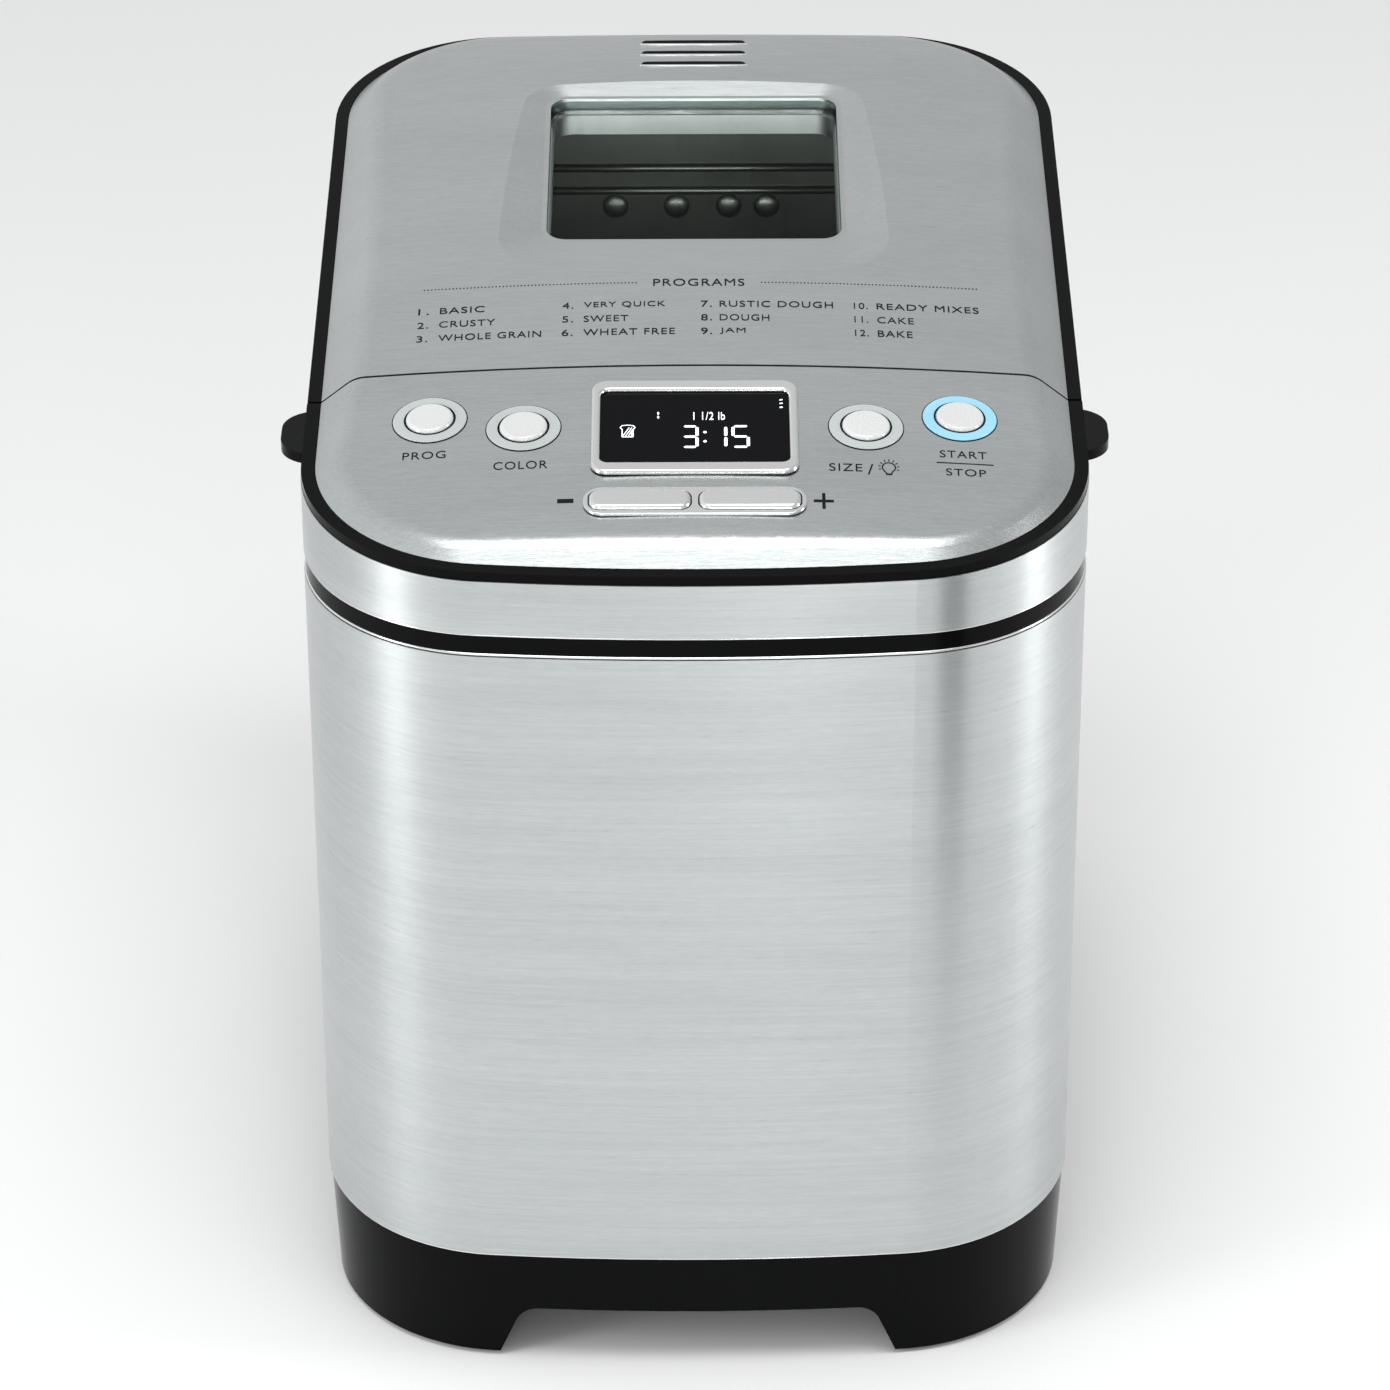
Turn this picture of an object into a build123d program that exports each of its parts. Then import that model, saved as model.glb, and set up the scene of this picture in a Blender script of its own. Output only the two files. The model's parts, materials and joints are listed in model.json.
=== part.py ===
from build123d import *
from math import atan2, cos, radians, sin, sqrt
import os

# Bread machine. Millimetres, +Z up, +Y towards the back, origin at the middle of the footprint on the ground.
# Heights are drawn from a datum 3 mm above the ground; save() puts each piece at its height above the ground.
# The control panel is at the front; the oven, with its pan, is behind it under the hinged lid.

# ---------------------------------------------------------------- driving dimensions
half_width = 120.0  # casing, to each side
body_depth = 330.0  # casing, front to back
overall_depth = 340.0  # with the hinge knuckles
front_y = -overall_depth / 2
back_y = front_y + body_depth
bow_radius = 704.0  # the front is slightly bowed in plan
front_corner = 60.0
back_corner = 57.0

sheet = 0.8  # steel skins
wall = 2.4  # mouldings
lap = 0.2  # air between a skin and the lip behind it

ground_z = -3.0
foot_radius = 8.0
foot_show = 1.5  # rubber showing below the base
tray_low = ground_z + foot_show
foot_pocket = 2.5
foot_x = 82.0
foot_front_y = -128.0
foot_back_y = 118.0
base_top = 38.2
base_draft_top = 0.6
base_draft_bottom = 2.5
base_wall = 2.6
base_floor_low = 20.0
base_floor_high = 23.0
chassis_post_x = 92.0
chassis_post_y = 95.0
arch_low_half = 64.0
arch_top_half = 56.0
arch_top = 16.5
arch_corner = 8.0

wrap_top = 256.5
trim_top = 264.1
handle_reach = 12.5  # tabs at the sides to lift the machine by
handle_long = 30.0
handle_thick = 3.6
handle_y = -20.0
handle_z = 252.0
wrap_end_y = 108.0  # the steel wrap stops here and the back cover takes over
gland_spot = (-48.0, 62.0)  # on the back, seen from behind

rim_slope = 0.09  # the top of the casing rises to the back
rim_front_z = 284.9  # lower edge of the top plates, at the front
rim_height = 3.1  # black rim, above the upper steel band
rim_gap = 0.4  # air between the lid's rim and the band
plate_inset = 4.6  # rim showing round the top plates
plate_sheet = 1.0
plate_flange = 1.5  # turned-down edge of the top plates
under_plate = 3.6  # walls under the plates stay this far inside their edge
under_crown = 0.4
bevel_angle = 40.0  # sloping edge of the top plates
crown_edge = 10.0  # radius where the crown turns into that slope
crown_radius = 1300.0  # across the casing
crest_height = 14.3  # top of the plates above their lower edge
crest_run = 150.0  # distance of the crest from the front
crest_front_radius = 1190.0
crest_back_radius = 3160.0
seam_run = 97.3  # lid seam, from the front
seam_gap = 1.0

pivot_y = 164.5  # lid hinge
pivot_z = 306.2
knuckle_radius = 5.5
lid_knuckle_radius = 4.1  # clears the band behind it as the lid swings
hinge_pin_radius = 2.0
running = 0.05  # radial clearance of pins and shafts
hinge_x = 52.0
knuckle_width = 10.0

oven_half = 98.0  # inside the liner
oven_front_y = -46.0
oven_back_y = 142.0
oven_y = (oven_front_y + oven_back_y) / 2
oven_floor = 66.0
oven_corner = 20.0

drive_y = 48.0  # centre of oven, pan and drive
shaft_radius = 4.0
chassis_low = 44.0
chassis_high = 46.0
pulley_low = 30.0
pulley_height = 10.0
drive_pulley_radius = 36.0
motor_pulley_radius = 9.0
motor_y = -112.0
motor_shaft_radius = 3.0
belt_thickness = 1.6
belt_clearance = 0.3

pan_half_x = 75.0
pan_half_y = 62.5
pan_corner = 18.0
pan_sheet = 1.2
pan_low = 80.0
pan_high = 222.0
collar_radius = 38.0
bail_z = 212.0
bail_x = 82.0
bail_reach = 68.0
bail_wire = 2.0

os.makedirs("parts", exist_ok=True)


def save(piece, name):
    placed = piece.part.moved(Location((0, 0, -ground_z)))
    placed.label = name
    export_step(placed, f"parts/{name}.step")


# ---------------------------------------------------------------- planes and outlines
tilt = atan2(rim_slope, 1.0)


def level(z):
    """Horizontal plane with its origin at the front of the casing."""
    return Plane(origin=(0, front_y, z))


def rim(height):
    """Plane parallel to the sloping top edge, this high above the plates' lower edge."""
    normal = Vector(0, -sin(tilt), cos(tilt))
    return Plane(origin=Vector(0, front_y, rim_front_z) + normal * height, x_dir=(1, 0, 0), z_dir=normal)


def outline(inset, slope=False):
    """Plan of the casing, shrunk by inset; on a sloping plane it is a little longer."""
    half = half_width - inset
    length = (body_depth - inset) / (cos(tilt) if slope else 1.0)
    bow = bow_radius - inset
    bow_end = bow_radius - sqrt(bow**2 - half**2)
    with BuildSketch() as plan:
        with BuildLine():
            ThreePointArc((-half, bow_end), (0, inset), (half, bow_end))
            Polyline((half, bow_end), (half, length), (-half, length), (-half, bow_end))
        make_face()
        fillet(plan.vertices().group_by(Axis.Y)[0], front_corner - inset)
        fillet(plan.vertices().group_by(Axis.Y)[-1], back_corner - inset)
    return plan.sketch


def crest(run):
    """Height of the top plates' centre line above their lower edge."""
    radius = crest_front_radius if run < crest_run else crest_back_radius
    return crest_height - radius + sqrt(radius**2 - (run - crest_run) ** 2)


def surface_height(x, run):
    return sqrt((crown_radius + crest(run)) ** 2 - x**2) - crown_radius


def surface_plane(x, run, depth=0.0):
    """Plane that touches the top surface at x and run, pushed in by depth."""
    base = rim(0)
    radius = crest_front_radius if run < crest_run else crest_back_radius
    normal = Vector(x / crown_radius, (run - crest_run) / radius, 1.0).normalized()
    spot = base.from_local_coords(Vector(x, run, surface_height(x, run)))
    z_dir = base.x_dir * normal.X + base.y_dir * normal.Y + base.z_dir * normal.Z
    return Plane(origin=spot - z_dir * depth, x_dir=(1, 0, 0), z_dir=z_dir)


def crown_volume(inset, drop):
    """Everything under the plates' top surface, as a solid standing on the rim plane."""
    frame = rim(0)
    end = body_depth + 20
    axle = frame.origin - frame.z_dir * crown_radius
    half_arc = 6.5
    side = frame.x_dir * cos(radians(half_arc)) + frame.z_dir * sin(radians(half_arc))
    profile = Plane(origin=axle, x_dir=frame.y_dir, z_dir=side)
    lift = crown_radius - drop
    with BuildPart() as block:
        with BuildSketch(frame):
            add(outline(inset, slope=True))
        extrude(amount=crest_height + 2, taper=90 - bevel_angle)
        with BuildSketch(profile):
            with BuildLine():
                first = (-10, lift + crest(-10))
                top = (crest_run, lift + crest_height)
                last = (end, lift + crest(end))
                ThreePointArc(first, (crest_run / 2, lift + crest(crest_run / 2)), top)
                ThreePointArc(top, ((crest_run + end) / 2, lift + crest((crest_run + end) / 2)), last)
                Polyline(last, (end, lift - 30), (-10, lift - 30), first)
            make_face()
        revolve(axis=Axis(axle, frame.y_dir), revolution_arc=2 * half_arc, mode=Mode.INTERSECT)
    return block.part


def prism(face, plane, height, upper=None, taper=0.0):
    """A face stood up from a plane, to a height or to a second plane."""
    with BuildPart() as block:
        with BuildSketch(plane):
            add(face)
        extrude(amount=height, taper=taper)
        if upper:
            split(bisect_by=upper, keep=Keep.BOTTOM)
    return block.part


# ---------------------------------------------------------------- base
def base_tray():
    floor_gap = base_floor_high - base_floor_low
    with BuildPart() as tray:
        with BuildSketch(level(tray_low)):
            add(outline(base_draft_bottom))
        with BuildSketch(level(base_top)):
            add(outline(base_draft_top))
        loft(ruled=True)
        with BuildSketch(level(tray_low)):
            add(outline(base_draft_bottom + base_wall))
        with BuildSketch(level(base_floor_low)):
            add(outline(base_draft_top + base_wall + 0.8))
        loft(ruled=True, mode=Mode.SUBTRACT)
        with BuildSketch(level(base_floor_high)):
            add(outline(base_draft_top + 5))
        with BuildSketch(level(base_top)):
            add(outline(base_draft_top + 3))
        loft(ruled=True, mode=Mode.SUBTRACT)
        # the lip that the steel skin is pushed over
        with BuildSketch(level(base_top - 3)):
            add(outline(sheet + lap))
            add(outline(base_draft_top + 3), mode=Mode.SUBTRACT)
        extrude(amount=9)
        # four bosses for the rubber feet
        with BuildSketch(Plane.XY.offset(tray_low)):
            with Locations(*foot_spots()):
                Circle(foot_radius + 3)
        extrude(amount=base_floor_low - tray_low + floor_gap / 2)
        with BuildSketch(Plane.XY.offset(tray_low)):
            with Locations(*foot_spots()):
                Circle(foot_radius)
        extrude(amount=foot_pocket, mode=Mode.SUBTRACT)
        # the arch that leaves four legs, cut through from front to back
        with BuildSketch(Plane.XZ) as arch:
            with BuildLine():
                Polyline(
                    (-arch_low_half, ground_z),
                    (-arch_top_half, arch_top),
                    (arch_top_half, arch_top),
                    (arch_low_half, ground_z),
                    close=True,
                )
            make_face()
            fillet(arch.vertices().group_by(Axis.Y)[-1], arch_corner)
        extrude(amount=overall_depth, both=True, mode=Mode.SUBTRACT)
        # motor cooling slots in the floor
        with BuildSketch(Plane.XY.offset(base_floor_low)):
            with Locations((0, motor_y)):
                with GridLocations(9, 0, 7, 1):
                    SlotOverall(34, 4, rotation=90)
        extrude(amount=floor_gap, mode=Mode.SUBTRACT)
        # four bosses that carry the chassis plate
        with BuildSketch(Plane.XY.offset(base_floor_high)):
            with Locations(*chassis_posts()):
                Circle(6)
        extrude(amount=chassis_low - base_floor_high)
        with BuildSketch(Plane.XY.offset(base_floor_low)):
            with Locations(*chassis_posts()):
                Circle(1.7)
        extrude(amount=chassis_low - base_floor_low, mode=Mode.SUBTRACT)
    save(tray, "base_tray")


def foot_spots():
    return [(side * foot_x, y) for side in (-1, 1) for y in (foot_front_y, foot_back_y)]


def chassis_posts():
    return [(side * chassis_post_x, end * chassis_post_y) for side in (-1, 1) for end in (-1, 1)]


def foot_pads():
    with BuildPart() as pads:
        with BuildSketch(Plane.XY.offset(ground_z)):
            with Locations(*foot_spots()):
                Circle(foot_radius)
        extrude(amount=foot_show + foot_pocket)
        fillet(pads.edges().group_by(Axis.Z)[0], 0.8)
    save(pads, "foot_pads")


def base_screws():
    head_low = base_floor_low - 1.8
    with BuildPart() as screws:
        with BuildSketch(Plane.XY.offset(head_low)):
            with Locations(*chassis_posts()):
                Circle(3.2)
        extrude(amount=1.8)
        with BuildSketch(Plane.XY.offset(base_floor_low)):
            with Locations(*chassis_posts()):
                Circle(1.6)
        extrude(amount=chassis_low - base_floor_low - 4)
    save(screws, "base_screws")


# ---------------------------------------------------------------- casing
def ring(plane, height, outer, inner, slope=False, upper=None):
    """A loop of wall that follows the casing's outline."""
    with BuildPart() as loop:
        with BuildSketch(plane):
            add(outline(outer, slope))
            add(outline(inner, slope), mode=Mode.SUBTRACT)
        extrude(amount=height)
        if upper:
            split(bisect_by=upper, keep=Keep.BOTTOM)
    return loop.part


def front_of(y):
    """A plane across the casing; its bottom side is everything in front of y."""
    return Plane(origin=(0, y, 0), x_dir=(1, 0, 0), z_dir=(0, 1, 0))


def body_wrap():
    with BuildPart() as wrap:
        add(ring(level(base_top), wrap_top - base_top, 0, sheet))
        split(bisect_by=front_of(wrap_end_y), keep=Keep.BOTTOM)
    save(wrap, "body_wrap")


def rear_cover():
    lip_reach = 8
    lip_low = base_top + 7
    lip_high = wrap_top - 9
    back = Plane(origin=(0, back_y, 0), x_dir=(-1, 0, 0), z_dir=(0, 1, 0))
    with BuildPart() as lip:
        add(ring(level(lip_low), lip_high - lip_low, sheet + lap, wall))
        split(bisect_by=front_of(wrap_end_y - lip_reach), keep=Keep.TOP)
    with BuildPart() as cover:
        add(ring(level(base_top), wrap_top - base_top, 0, wall))
        split(bisect_by=front_of(wrap_end_y + lap), keep=Keep.TOP)
        add(lip.part)
        # room for the base's lip
        add(ring(level(base_top), lip_low - base_top - 0.5, sheet, wall + 2), mode=Mode.SUBTRACT)
        with BuildSketch(back):
            # two banks of vents and the hole for the cord gland
            for low in (75, 200):
                with Locations((0, low)):
                    with GridLocations(0, 7, 1, 5):
                        SlotOverall(90, 3)
            with Locations(gland_spot):
                Circle(8.1)
        extrude(amount=-6, mode=Mode.SUBTRACT)
    save(cover, "rear_cover")


def cord_gland():
    back = Plane(origin=(0, back_y, 0), x_dir=(-1, 0, 0), z_dir=(0, 1, 0))
    with BuildPart() as gland:
        with BuildSketch(back):
            with Locations(gland_spot):
                Circle(10)
        extrude(amount=2.5)
        with BuildSketch(back):
            with Locations(gland_spot):
                Circle(8)
        extrude(amount=-8)
        with BuildSketch(back.offset(2.5)):
            with Locations(gland_spot):
                Circle(6.5)
        extrude(amount=6, taper=6)
        with BuildSketch(back.offset(8.5)):
            with Locations(gland_spot):
                Circle(3.6)
        extrude(amount=-16.5, mode=Mode.SUBTRACT)
    save(gland, "cord_gland")


def lower_trim():
    with BuildPart() as trim:
        add(ring(level(wrap_top), trim_top - wrap_top, 0.5, wall + 1))
        add(ring(level(wrap_top - 8), 8, wall + lap, wall + 1.6))
        add(ring(level(trim_top), 8, sheet + lap, wall + 1))
    save(trim, "lower_trim")


def upper_band():
    with BuildPart() as band:
        add(ring(level(trim_top), 60, 0, sheet, upper=rim(-rim_height)))
    save(band, "upper_band")


def side_handles():
    """A tab to lift by on each side, on a pad that lies against the wrap."""
    with BuildPart() as handles:
        with BuildSketch(Plane.XY.offset(handle_z)):
            with Locations((half_width, handle_y)):
                RectangleRounded(2 * handle_reach, handle_long, handle_reach - 1)
        extrude(amount=handle_thick)
        with BuildSketch(Plane.XY.offset(handle_z - 8)):
            with Locations((half_width + 1, handle_y)):
                Rectangle(2, handle_long - 0.5)
        extrude(amount=handle_thick + 8)
        split(bisect_by=Plane(origin=(half_width, 0, 0), x_dir=(0, 1, 0), z_dir=(1, 0, 0)))
        mirror(about=Plane.YZ)
    save(handles, "side_handles")


# ---------------------------------------------------------------- top of the casing
def plate_skins():
    """The pressed sheet of both top plates, before the seam parts them."""
    inner_inset = plate_inset + plate_sheet / sin(radians(bevel_angle))
    with BuildPart() as core:
        add(crown_volume(inner_inset, plate_sheet))
        add(window_dish(plate_sheet), mode=Mode.SUBTRACT)
    with BuildPart() as skin:
        add(crown_volume(plate_inset, 0))
        fillet(crown_edges(skin), crown_edge)
        add(ring(rim(-plate_flange), plate_flange, plate_inset, plate_inset + plate_sheet, slope=True))
        add(window_dish(0), mode=Mode.SUBTRACT)
        add(core.part, mode=Mode.SUBTRACT)
    return skin.part


def crown_edges(block):
    """The edges where the crowned top meets the sloping edge all round it."""
    frame = rim(0)
    picked = []
    for edge in block.edges():
        middle = frame.to_local_coords(edge.position_at(0.5))
        across = edge.position_at(0).X * edge.position_at(1).X < 0 and abs(middle.Y - crest_run) < 1
        rises = abs(frame.to_local_coords(edge.position_at(0)).Z - frame.to_local_coords(edge.position_at(1)).Z) > 3
        if middle.Z > 2 and not across and not (rises and edge.length < 12):
            picked.append(edge)
    return picked


window_run = 226.2
window_wide = 94.8
window_long = 91.5
window_corner = 6.5
dish_run = 215.5
dish_wide = 132.0
dish_long = 131.0
dish_floor = 8.8  # above the plates' lower edge


def window_dish(drop):
    """The shallow dish round the window; the sheet's inner side is lower by drop."""
    margin = 1.6
    with BuildPart() as dish:
        with BuildSketch(rim(dish_floor - drop)):
            with Locations((0, window_run)):
                RectangleRounded(window_wide + 2 * margin, window_long + 2 * margin, window_corner + 1)
        with BuildSketch(rim(crest_height + 1)):
            with Locations((0, dish_run)):
                RectangleRounded(dish_wide + 10 + 2 * drop, dish_long + 10 + 2 * drop, 24)
        loft()
    return dish.part


def seam(run):
    """A plane across the casing, square to the sloping rim; its bottom side is the front."""
    frame = rim(0)
    return Plane(origin=frame.from_local_coords((0, run, 0)), x_dir=(1, 0, 0), z_dir=frame.y_dir)


button_spots = {
    "button_program": (-80.7, 72.2),
    "button_crust": (-52.0, 66.0),
    "button_size": (52.0, 66.0),
    "button_start": (80.7, 72.2),
}
cap_radius = 7.3
cap_proud = 1.6
ring_radius = 11.3
ring_flange = 13.0
bar_run = 28.4
bar_long = 30.6
bar_wide = 9.2
bar_x = 16.5
bar_proud = 1.9
bar_frame_long = 67.0
bar_frame_wide = 13.0
display_run = 64.5
display_wide = 63.0
display_high = 46.6
lens_wide = 57.2
lens_high = 36.4
display_corner = 5.0
clear = 0.3


def top_plates(skins):
    with BuildPart() as control:
        add(skins)
        split(bisect_by=seam(seam_run - seam_gap / 2), keep=Keep.BOTTOM)
        for x, run in button_spots.values():
            with BuildSketch(surface_plane(x, run, 6)):
                Circle(ring_radius + 0.1)
            extrude(amount=12, mode=Mode.SUBTRACT)
        with BuildSketch(surface_plane(0, display_run, 6)):
            RectangleRounded(display_wide - 4, display_high - 4, display_corner - 1)
        extrude(amount=12, mode=Mode.SUBTRACT)
        with BuildSketch(surface_plane(0, bar_run, 6)):
            RectangleRounded(bar_frame_long - 3, bar_frame_wide - 3, 4)
        extrude(amount=12, mode=Mode.SUBTRACT)
    save(control, "control_plate")
    with BuildPart() as lid:
        add(skins)
        split(bisect_by=seam(seam_run + seam_gap / 2), keep=Keep.TOP)
        with BuildSketch(rim(0)):
            with Locations((0, window_run)):
                RectangleRounded(window_wide, window_long, window_corner)
        extrude(amount=20, mode=Mode.SUBTRACT)
        with BuildSketch(rim(6)):
            for slot in range(3):
                with Locations((0, 291.7 + 8 * slot)):
                    SlotOverall(34.8, 3.4)
        extrude(amount=10, mode=Mode.SUBTRACT)
    save(lid, "lid_plate")


def control_housing():
    """Black front rim, with the deck that carries the boards and the wall behind the panel."""
    deck_low = -10
    deck = 2
    back_run = seam_run - seam_gap / 2
    ledge_inner = plate_inset + 4
    with BuildPart() as housing:
        add(ring(rim(-rim_height), rim_height, 0.2, plate_inset - lap, slope=True))
        add(ring(rim(-rim_height), 1, sheet + lap, ledge_inner, slope=True))
        add(ring(rim(-rim_height), rim_height - 0.5, plate_inset + plate_sheet + lap, ledge_inner, slope=True))
        add(ring(rim(deck_low), -deck_low - rim_height, sheet + lap, wall + 1, slope=True))
        add(prism(outline(wall, slope=True), rim(deck_low), deck))
        split(bisect_by=seam(back_run), keep=Keep.BOTTOM)
    with BuildPart() as room:
        add(crown_volume(plate_inset + under_plate, plate_sheet + under_crown))
        add(prism(outline(plate_inset + under_plate, slope=True), rim(-rim_height), rim_height))
        add(prism(outline(wall, slope=True), rim(deck_low), -deck_low - plate_flange - lap))
    with BuildPart() as back_wall:
        with BuildSketch(seam(back_run)):
            Rectangle(2 * half_width, 60)
        extrude(amount=-deck)
        add(room.part, mode=Mode.INTERSECT)
    with BuildPart() as whole:
        add(housing.part)
        add(back_wall.part)
    save(whole, "control_housing")


def top_edges(piece, plane):
    """Edges of the face that lies furthest out from a plane."""
    return piece.faces().sort_by(Axis(plane.origin, plane.z_dir))[-1].edges()


def display_pieces():
    face = surface_plane(0, display_run)
    with BuildPart() as frame:
        with BuildSketch(face):
            RectangleRounded(display_wide, display_high, display_corner)
            RectangleRounded(lens_wide, lens_high, 2.5, mode=Mode.SUBTRACT)
        extrude(amount=1.3)
        fillet(top_edges(frame, face), 1.1)
        with BuildSketch(surface_plane(0, display_run, 4)):
            RectangleRounded(display_wide - 4.4, display_high - 4.4, display_corner - 1.2)
            RectangleRounded(lens_wide, lens_high, 2.5, mode=Mode.SUBTRACT)
        extrude(amount=4)
    save(frame, "display_frame")
    with BuildPart() as lens:
        with BuildSketch(surface_plane(0, display_run, 2)):
            RectangleRounded(lens_wide - 0.2, lens_high - 0.2, 2.4)
        extrude(amount=2)
    save(lens, "display_lens")
    with BuildPart() as module:
        with BuildSketch(surface_plane(0, display_run, 5.4)):
            Rectangle(lens_wide - 2, lens_high - 2)
        extrude(amount=3.2)
    save(module, "lcd_module")


board_run = 60.0
board_drop = 12.0
board_sheet = 1.6
board_slope = (crest_run - board_run) / crest_front_radius


def board_plane():
    base = rim(0)
    spot = base.from_local_coords(Vector(0, board_run, crest(board_run) - board_drop))
    z_dir = (base.z_dir - base.y_dir * board_slope).normalized()
    return Plane(origin=spot, x_dir=(1, 0, 0), z_dir=z_dir)


def control_board():
    low_run = 17
    high_run = 92
    with BuildPart() as board:
        with BuildSketch(board_plane()):
            with Locations((0, (low_run + high_run) / 2 - board_run)):
                RectangleRounded(184, high_run - low_run, 14)
        extrude(amount=-board_sheet)
    save(board, "control_board")


def press_spots():
    """Every button's place, with the radius of its stem."""
    spots = dict(button_spots)
    spots["button_minus"] = (-bar_x, bar_run)
    spots["button_plus"] = (bar_x, bar_run)
    return spots


stem_depth = 5.4
switch_gap = 1.2  # air below a stem; the key's travel is a little less


def control_switches():
    plane = board_plane()
    with BuildPart() as switches:
        for x, run in press_spots().values():
            surface = surface_plane(x, run, stem_depth + switch_gap)
            tip = plane.to_local_coords(surface.origin)
            with BuildSketch(plane):
                with Locations((tip.X, tip.Y)):
                    Rectangle(6.2, 6.2)
            extrude(amount=2.4)
            with BuildSketch(plane):
                with Locations((tip.X, tip.Y)):
                    Circle(1.7)
            extrude(amount=tip.Z - 0.1)
    save(switches, "control_switches")


def button_ring(x, run):
    with BuildPart() as ring_piece:
        with BuildSketch(surface_plane(x, run, 2.6)):
            Circle(ring_flange)
            Circle(cap_radius + clear, mode=Mode.SUBTRACT)
        extrude(amount=1.3)
        with BuildSketch(surface_plane(x, run, 2.6)):
            Circle(ring_radius)
            Circle(cap_radius + clear, mode=Mode.SUBTRACT)
        extrude(amount=3.0)
        chamfer(ring_piece.edges().filter_by(GeomType.CIRCLE).sort_by(Axis.Z)[-2:], 0.2)
    return ring_piece.part


def button_pieces():
    with BuildPart() as rings:
        for name in ("button_program", "button_crust", "button_size"):
            add(button_ring(*button_spots[name]))
    save(rings, "button_rings")
    with BuildPart() as start_ring:
        add(button_ring(*button_spots["button_start"]))
    save(start_ring, "start_ring")
    for name, (x, run) in button_spots.items():
        with BuildPart() as button:
            with BuildSketch(surface_plane(x, run, 2.9)):
                Circle(cap_radius)
            extrude(amount=2.9 + cap_proud)
            fillet(top_edges(button, surface_plane(x, run)), 1.3)
            with BuildSketch(surface_plane(x, run, 4.1)):
                Circle(cap_radius + 1.3)
            extrude(amount=1.2)
            with BuildSketch(surface_plane(x, run, stem_depth)):
                Circle(2.4)
            extrude(amount=1.4)
        save(button, name)


def bar_buttons():
    face = surface_plane(0, bar_run)
    with BuildPart() as frame:
        with BuildSketch(face):
            RectangleRounded(bar_frame_long, bar_frame_wide, 6)
        extrude(amount=0.8)
        fillet(top_edges(frame, face), 0.5)
        with BuildSketch(surface_plane(0, bar_run, 3)):
            RectangleRounded(bar_frame_long - 3.4, bar_frame_wide - 3.4, 4)
        extrude(amount=3)
        with BuildSketch(surface_plane(0, bar_run, 4)):
            with Locations((-bar_x, 0), (bar_x, 0)):
                RectangleRounded(bar_long + 2 * clear, bar_wide - 0.4 + 2 * clear, 3.6)
        extrude(amount=6, mode=Mode.SUBTRACT)
    save(frame, "rocker_frame")
    for side, name in ((-1, "button_minus"), (1, "button_plus")):
        with BuildPart() as button:
            with BuildSketch(surface_plane(0, bar_run, 3.3)):
                with Locations((side * bar_x, 0)):
                    RectangleRounded(bar_long, bar_wide - 0.4, 3.4)
            extrude(amount=3.3 + bar_proud)
            fillet(top_edges(button, face), 1.5)
            with BuildSketch(surface_plane(0, bar_run, 4.3)):
                with Locations((side * bar_x, 0)):
                    Rectangle(bar_long - 3, bar_wide + 1.6)
            extrude(amount=1.0)
            with BuildSketch(surface_plane(0, bar_run, stem_depth)):
                with Locations((side * bar_x, 0)):
                    Circle(2.4)
            extrude(amount=1.2)
        save(button, name)


# ---------------------------------------------------------------- oven
def oven_box(grow, corner):
    with BuildSketch() as plan:
        with Locations((0, oven_y)):
            RectangleRounded(
                2 * (oven_half + grow),
                oven_back_y - oven_front_y + 2 * grow,
                corner + grow,
            )
    return plan.sketch


rim_plate_low = -8.5
rim_plate_high = -6.5
lamp_y = 90.0
lamp_z = 238.0
terminal_x = 14.0
element_z = 86.0
sensor_x = -40.0
sensor_z = 150.0


def oven_liner():
    ceiling = rim(rim_plate_low - 0.1)
    with BuildPart() as liner:
        add(prism(oven_box(sheet, oven_corner), Plane.XY.offset(oven_floor - sheet), 300, upper=ceiling))
        add(prism(oven_box(0, oven_corner), Plane.XY.offset(oven_floor), 300), mode=Mode.SUBTRACT)
        with BuildSketch(Plane.XY.offset(oven_floor - 3)):
            with Locations((0, drive_y)):
                Circle(8)
        extrude(amount=6, mode=Mode.SUBTRACT)
        with BuildSketch(Plane(origin=(oven_half - 4, lamp_y, lamp_z), x_dir=(0, 1, 0), z_dir=(1, 0, 0))):
            Circle(14)
        extrude(amount=8, mode=Mode.SUBTRACT)
        with BuildSketch(Plane(origin=(0, oven_front_y + 3, 0), x_dir=(1, 0, 0), z_dir=(0, -1, 0))):
            with Locations((-terminal_x, element_z), (terminal_x, element_z)):
                Circle(6)
            with Locations((sensor_x, sensor_z)):
                Circle(3)
        extrude(amount=8, mode=Mode.SUBTRACT)
    save(liner, "oven_liner")


def oven_rim():
    """Black top of the casing round the oven's mouth."""
    with BuildPart() as frame:
        add(prism(outline(sheet + lap + 0.8, slope=True), rim(rim_plate_low), rim_plate_high - rim_plate_low))
        split(bisect_by=seam(seam_run - seam_gap / 2 + clear), keep=Keep.TOP)
        add(prism(oven_box(-2, oven_corner), Plane.XY.offset(200), 200), mode=Mode.SUBTRACT)
    save(frame, "oven_rim")


def heating_element():
    tube = 3.2
    reach_x = 86
    near_y = oven_front_y + 12
    far_y = oven_back_y - 12
    out_y = oven_front_y - 12
    with BuildPart() as element:
        with BuildLine():
            FilletPolyline(
                (-terminal_x, out_y, element_z),
                (-terminal_x, near_y, element_z),
                (-reach_x, near_y, element_z),
                (-reach_x, far_y, element_z),
                (reach_x, far_y, element_z),
                (reach_x, near_y, element_z),
                (terminal_x, near_y, element_z),
                (terminal_x, out_y, element_z),
                radius=10,
            )
        with BuildSketch(Plane(origin=(-terminal_x, out_y, element_z), x_dir=(1, 0, 0), z_dir=(0, 1, 0))):
            Circle(tube)
        sweep()
    save(element, "heating_element")


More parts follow.
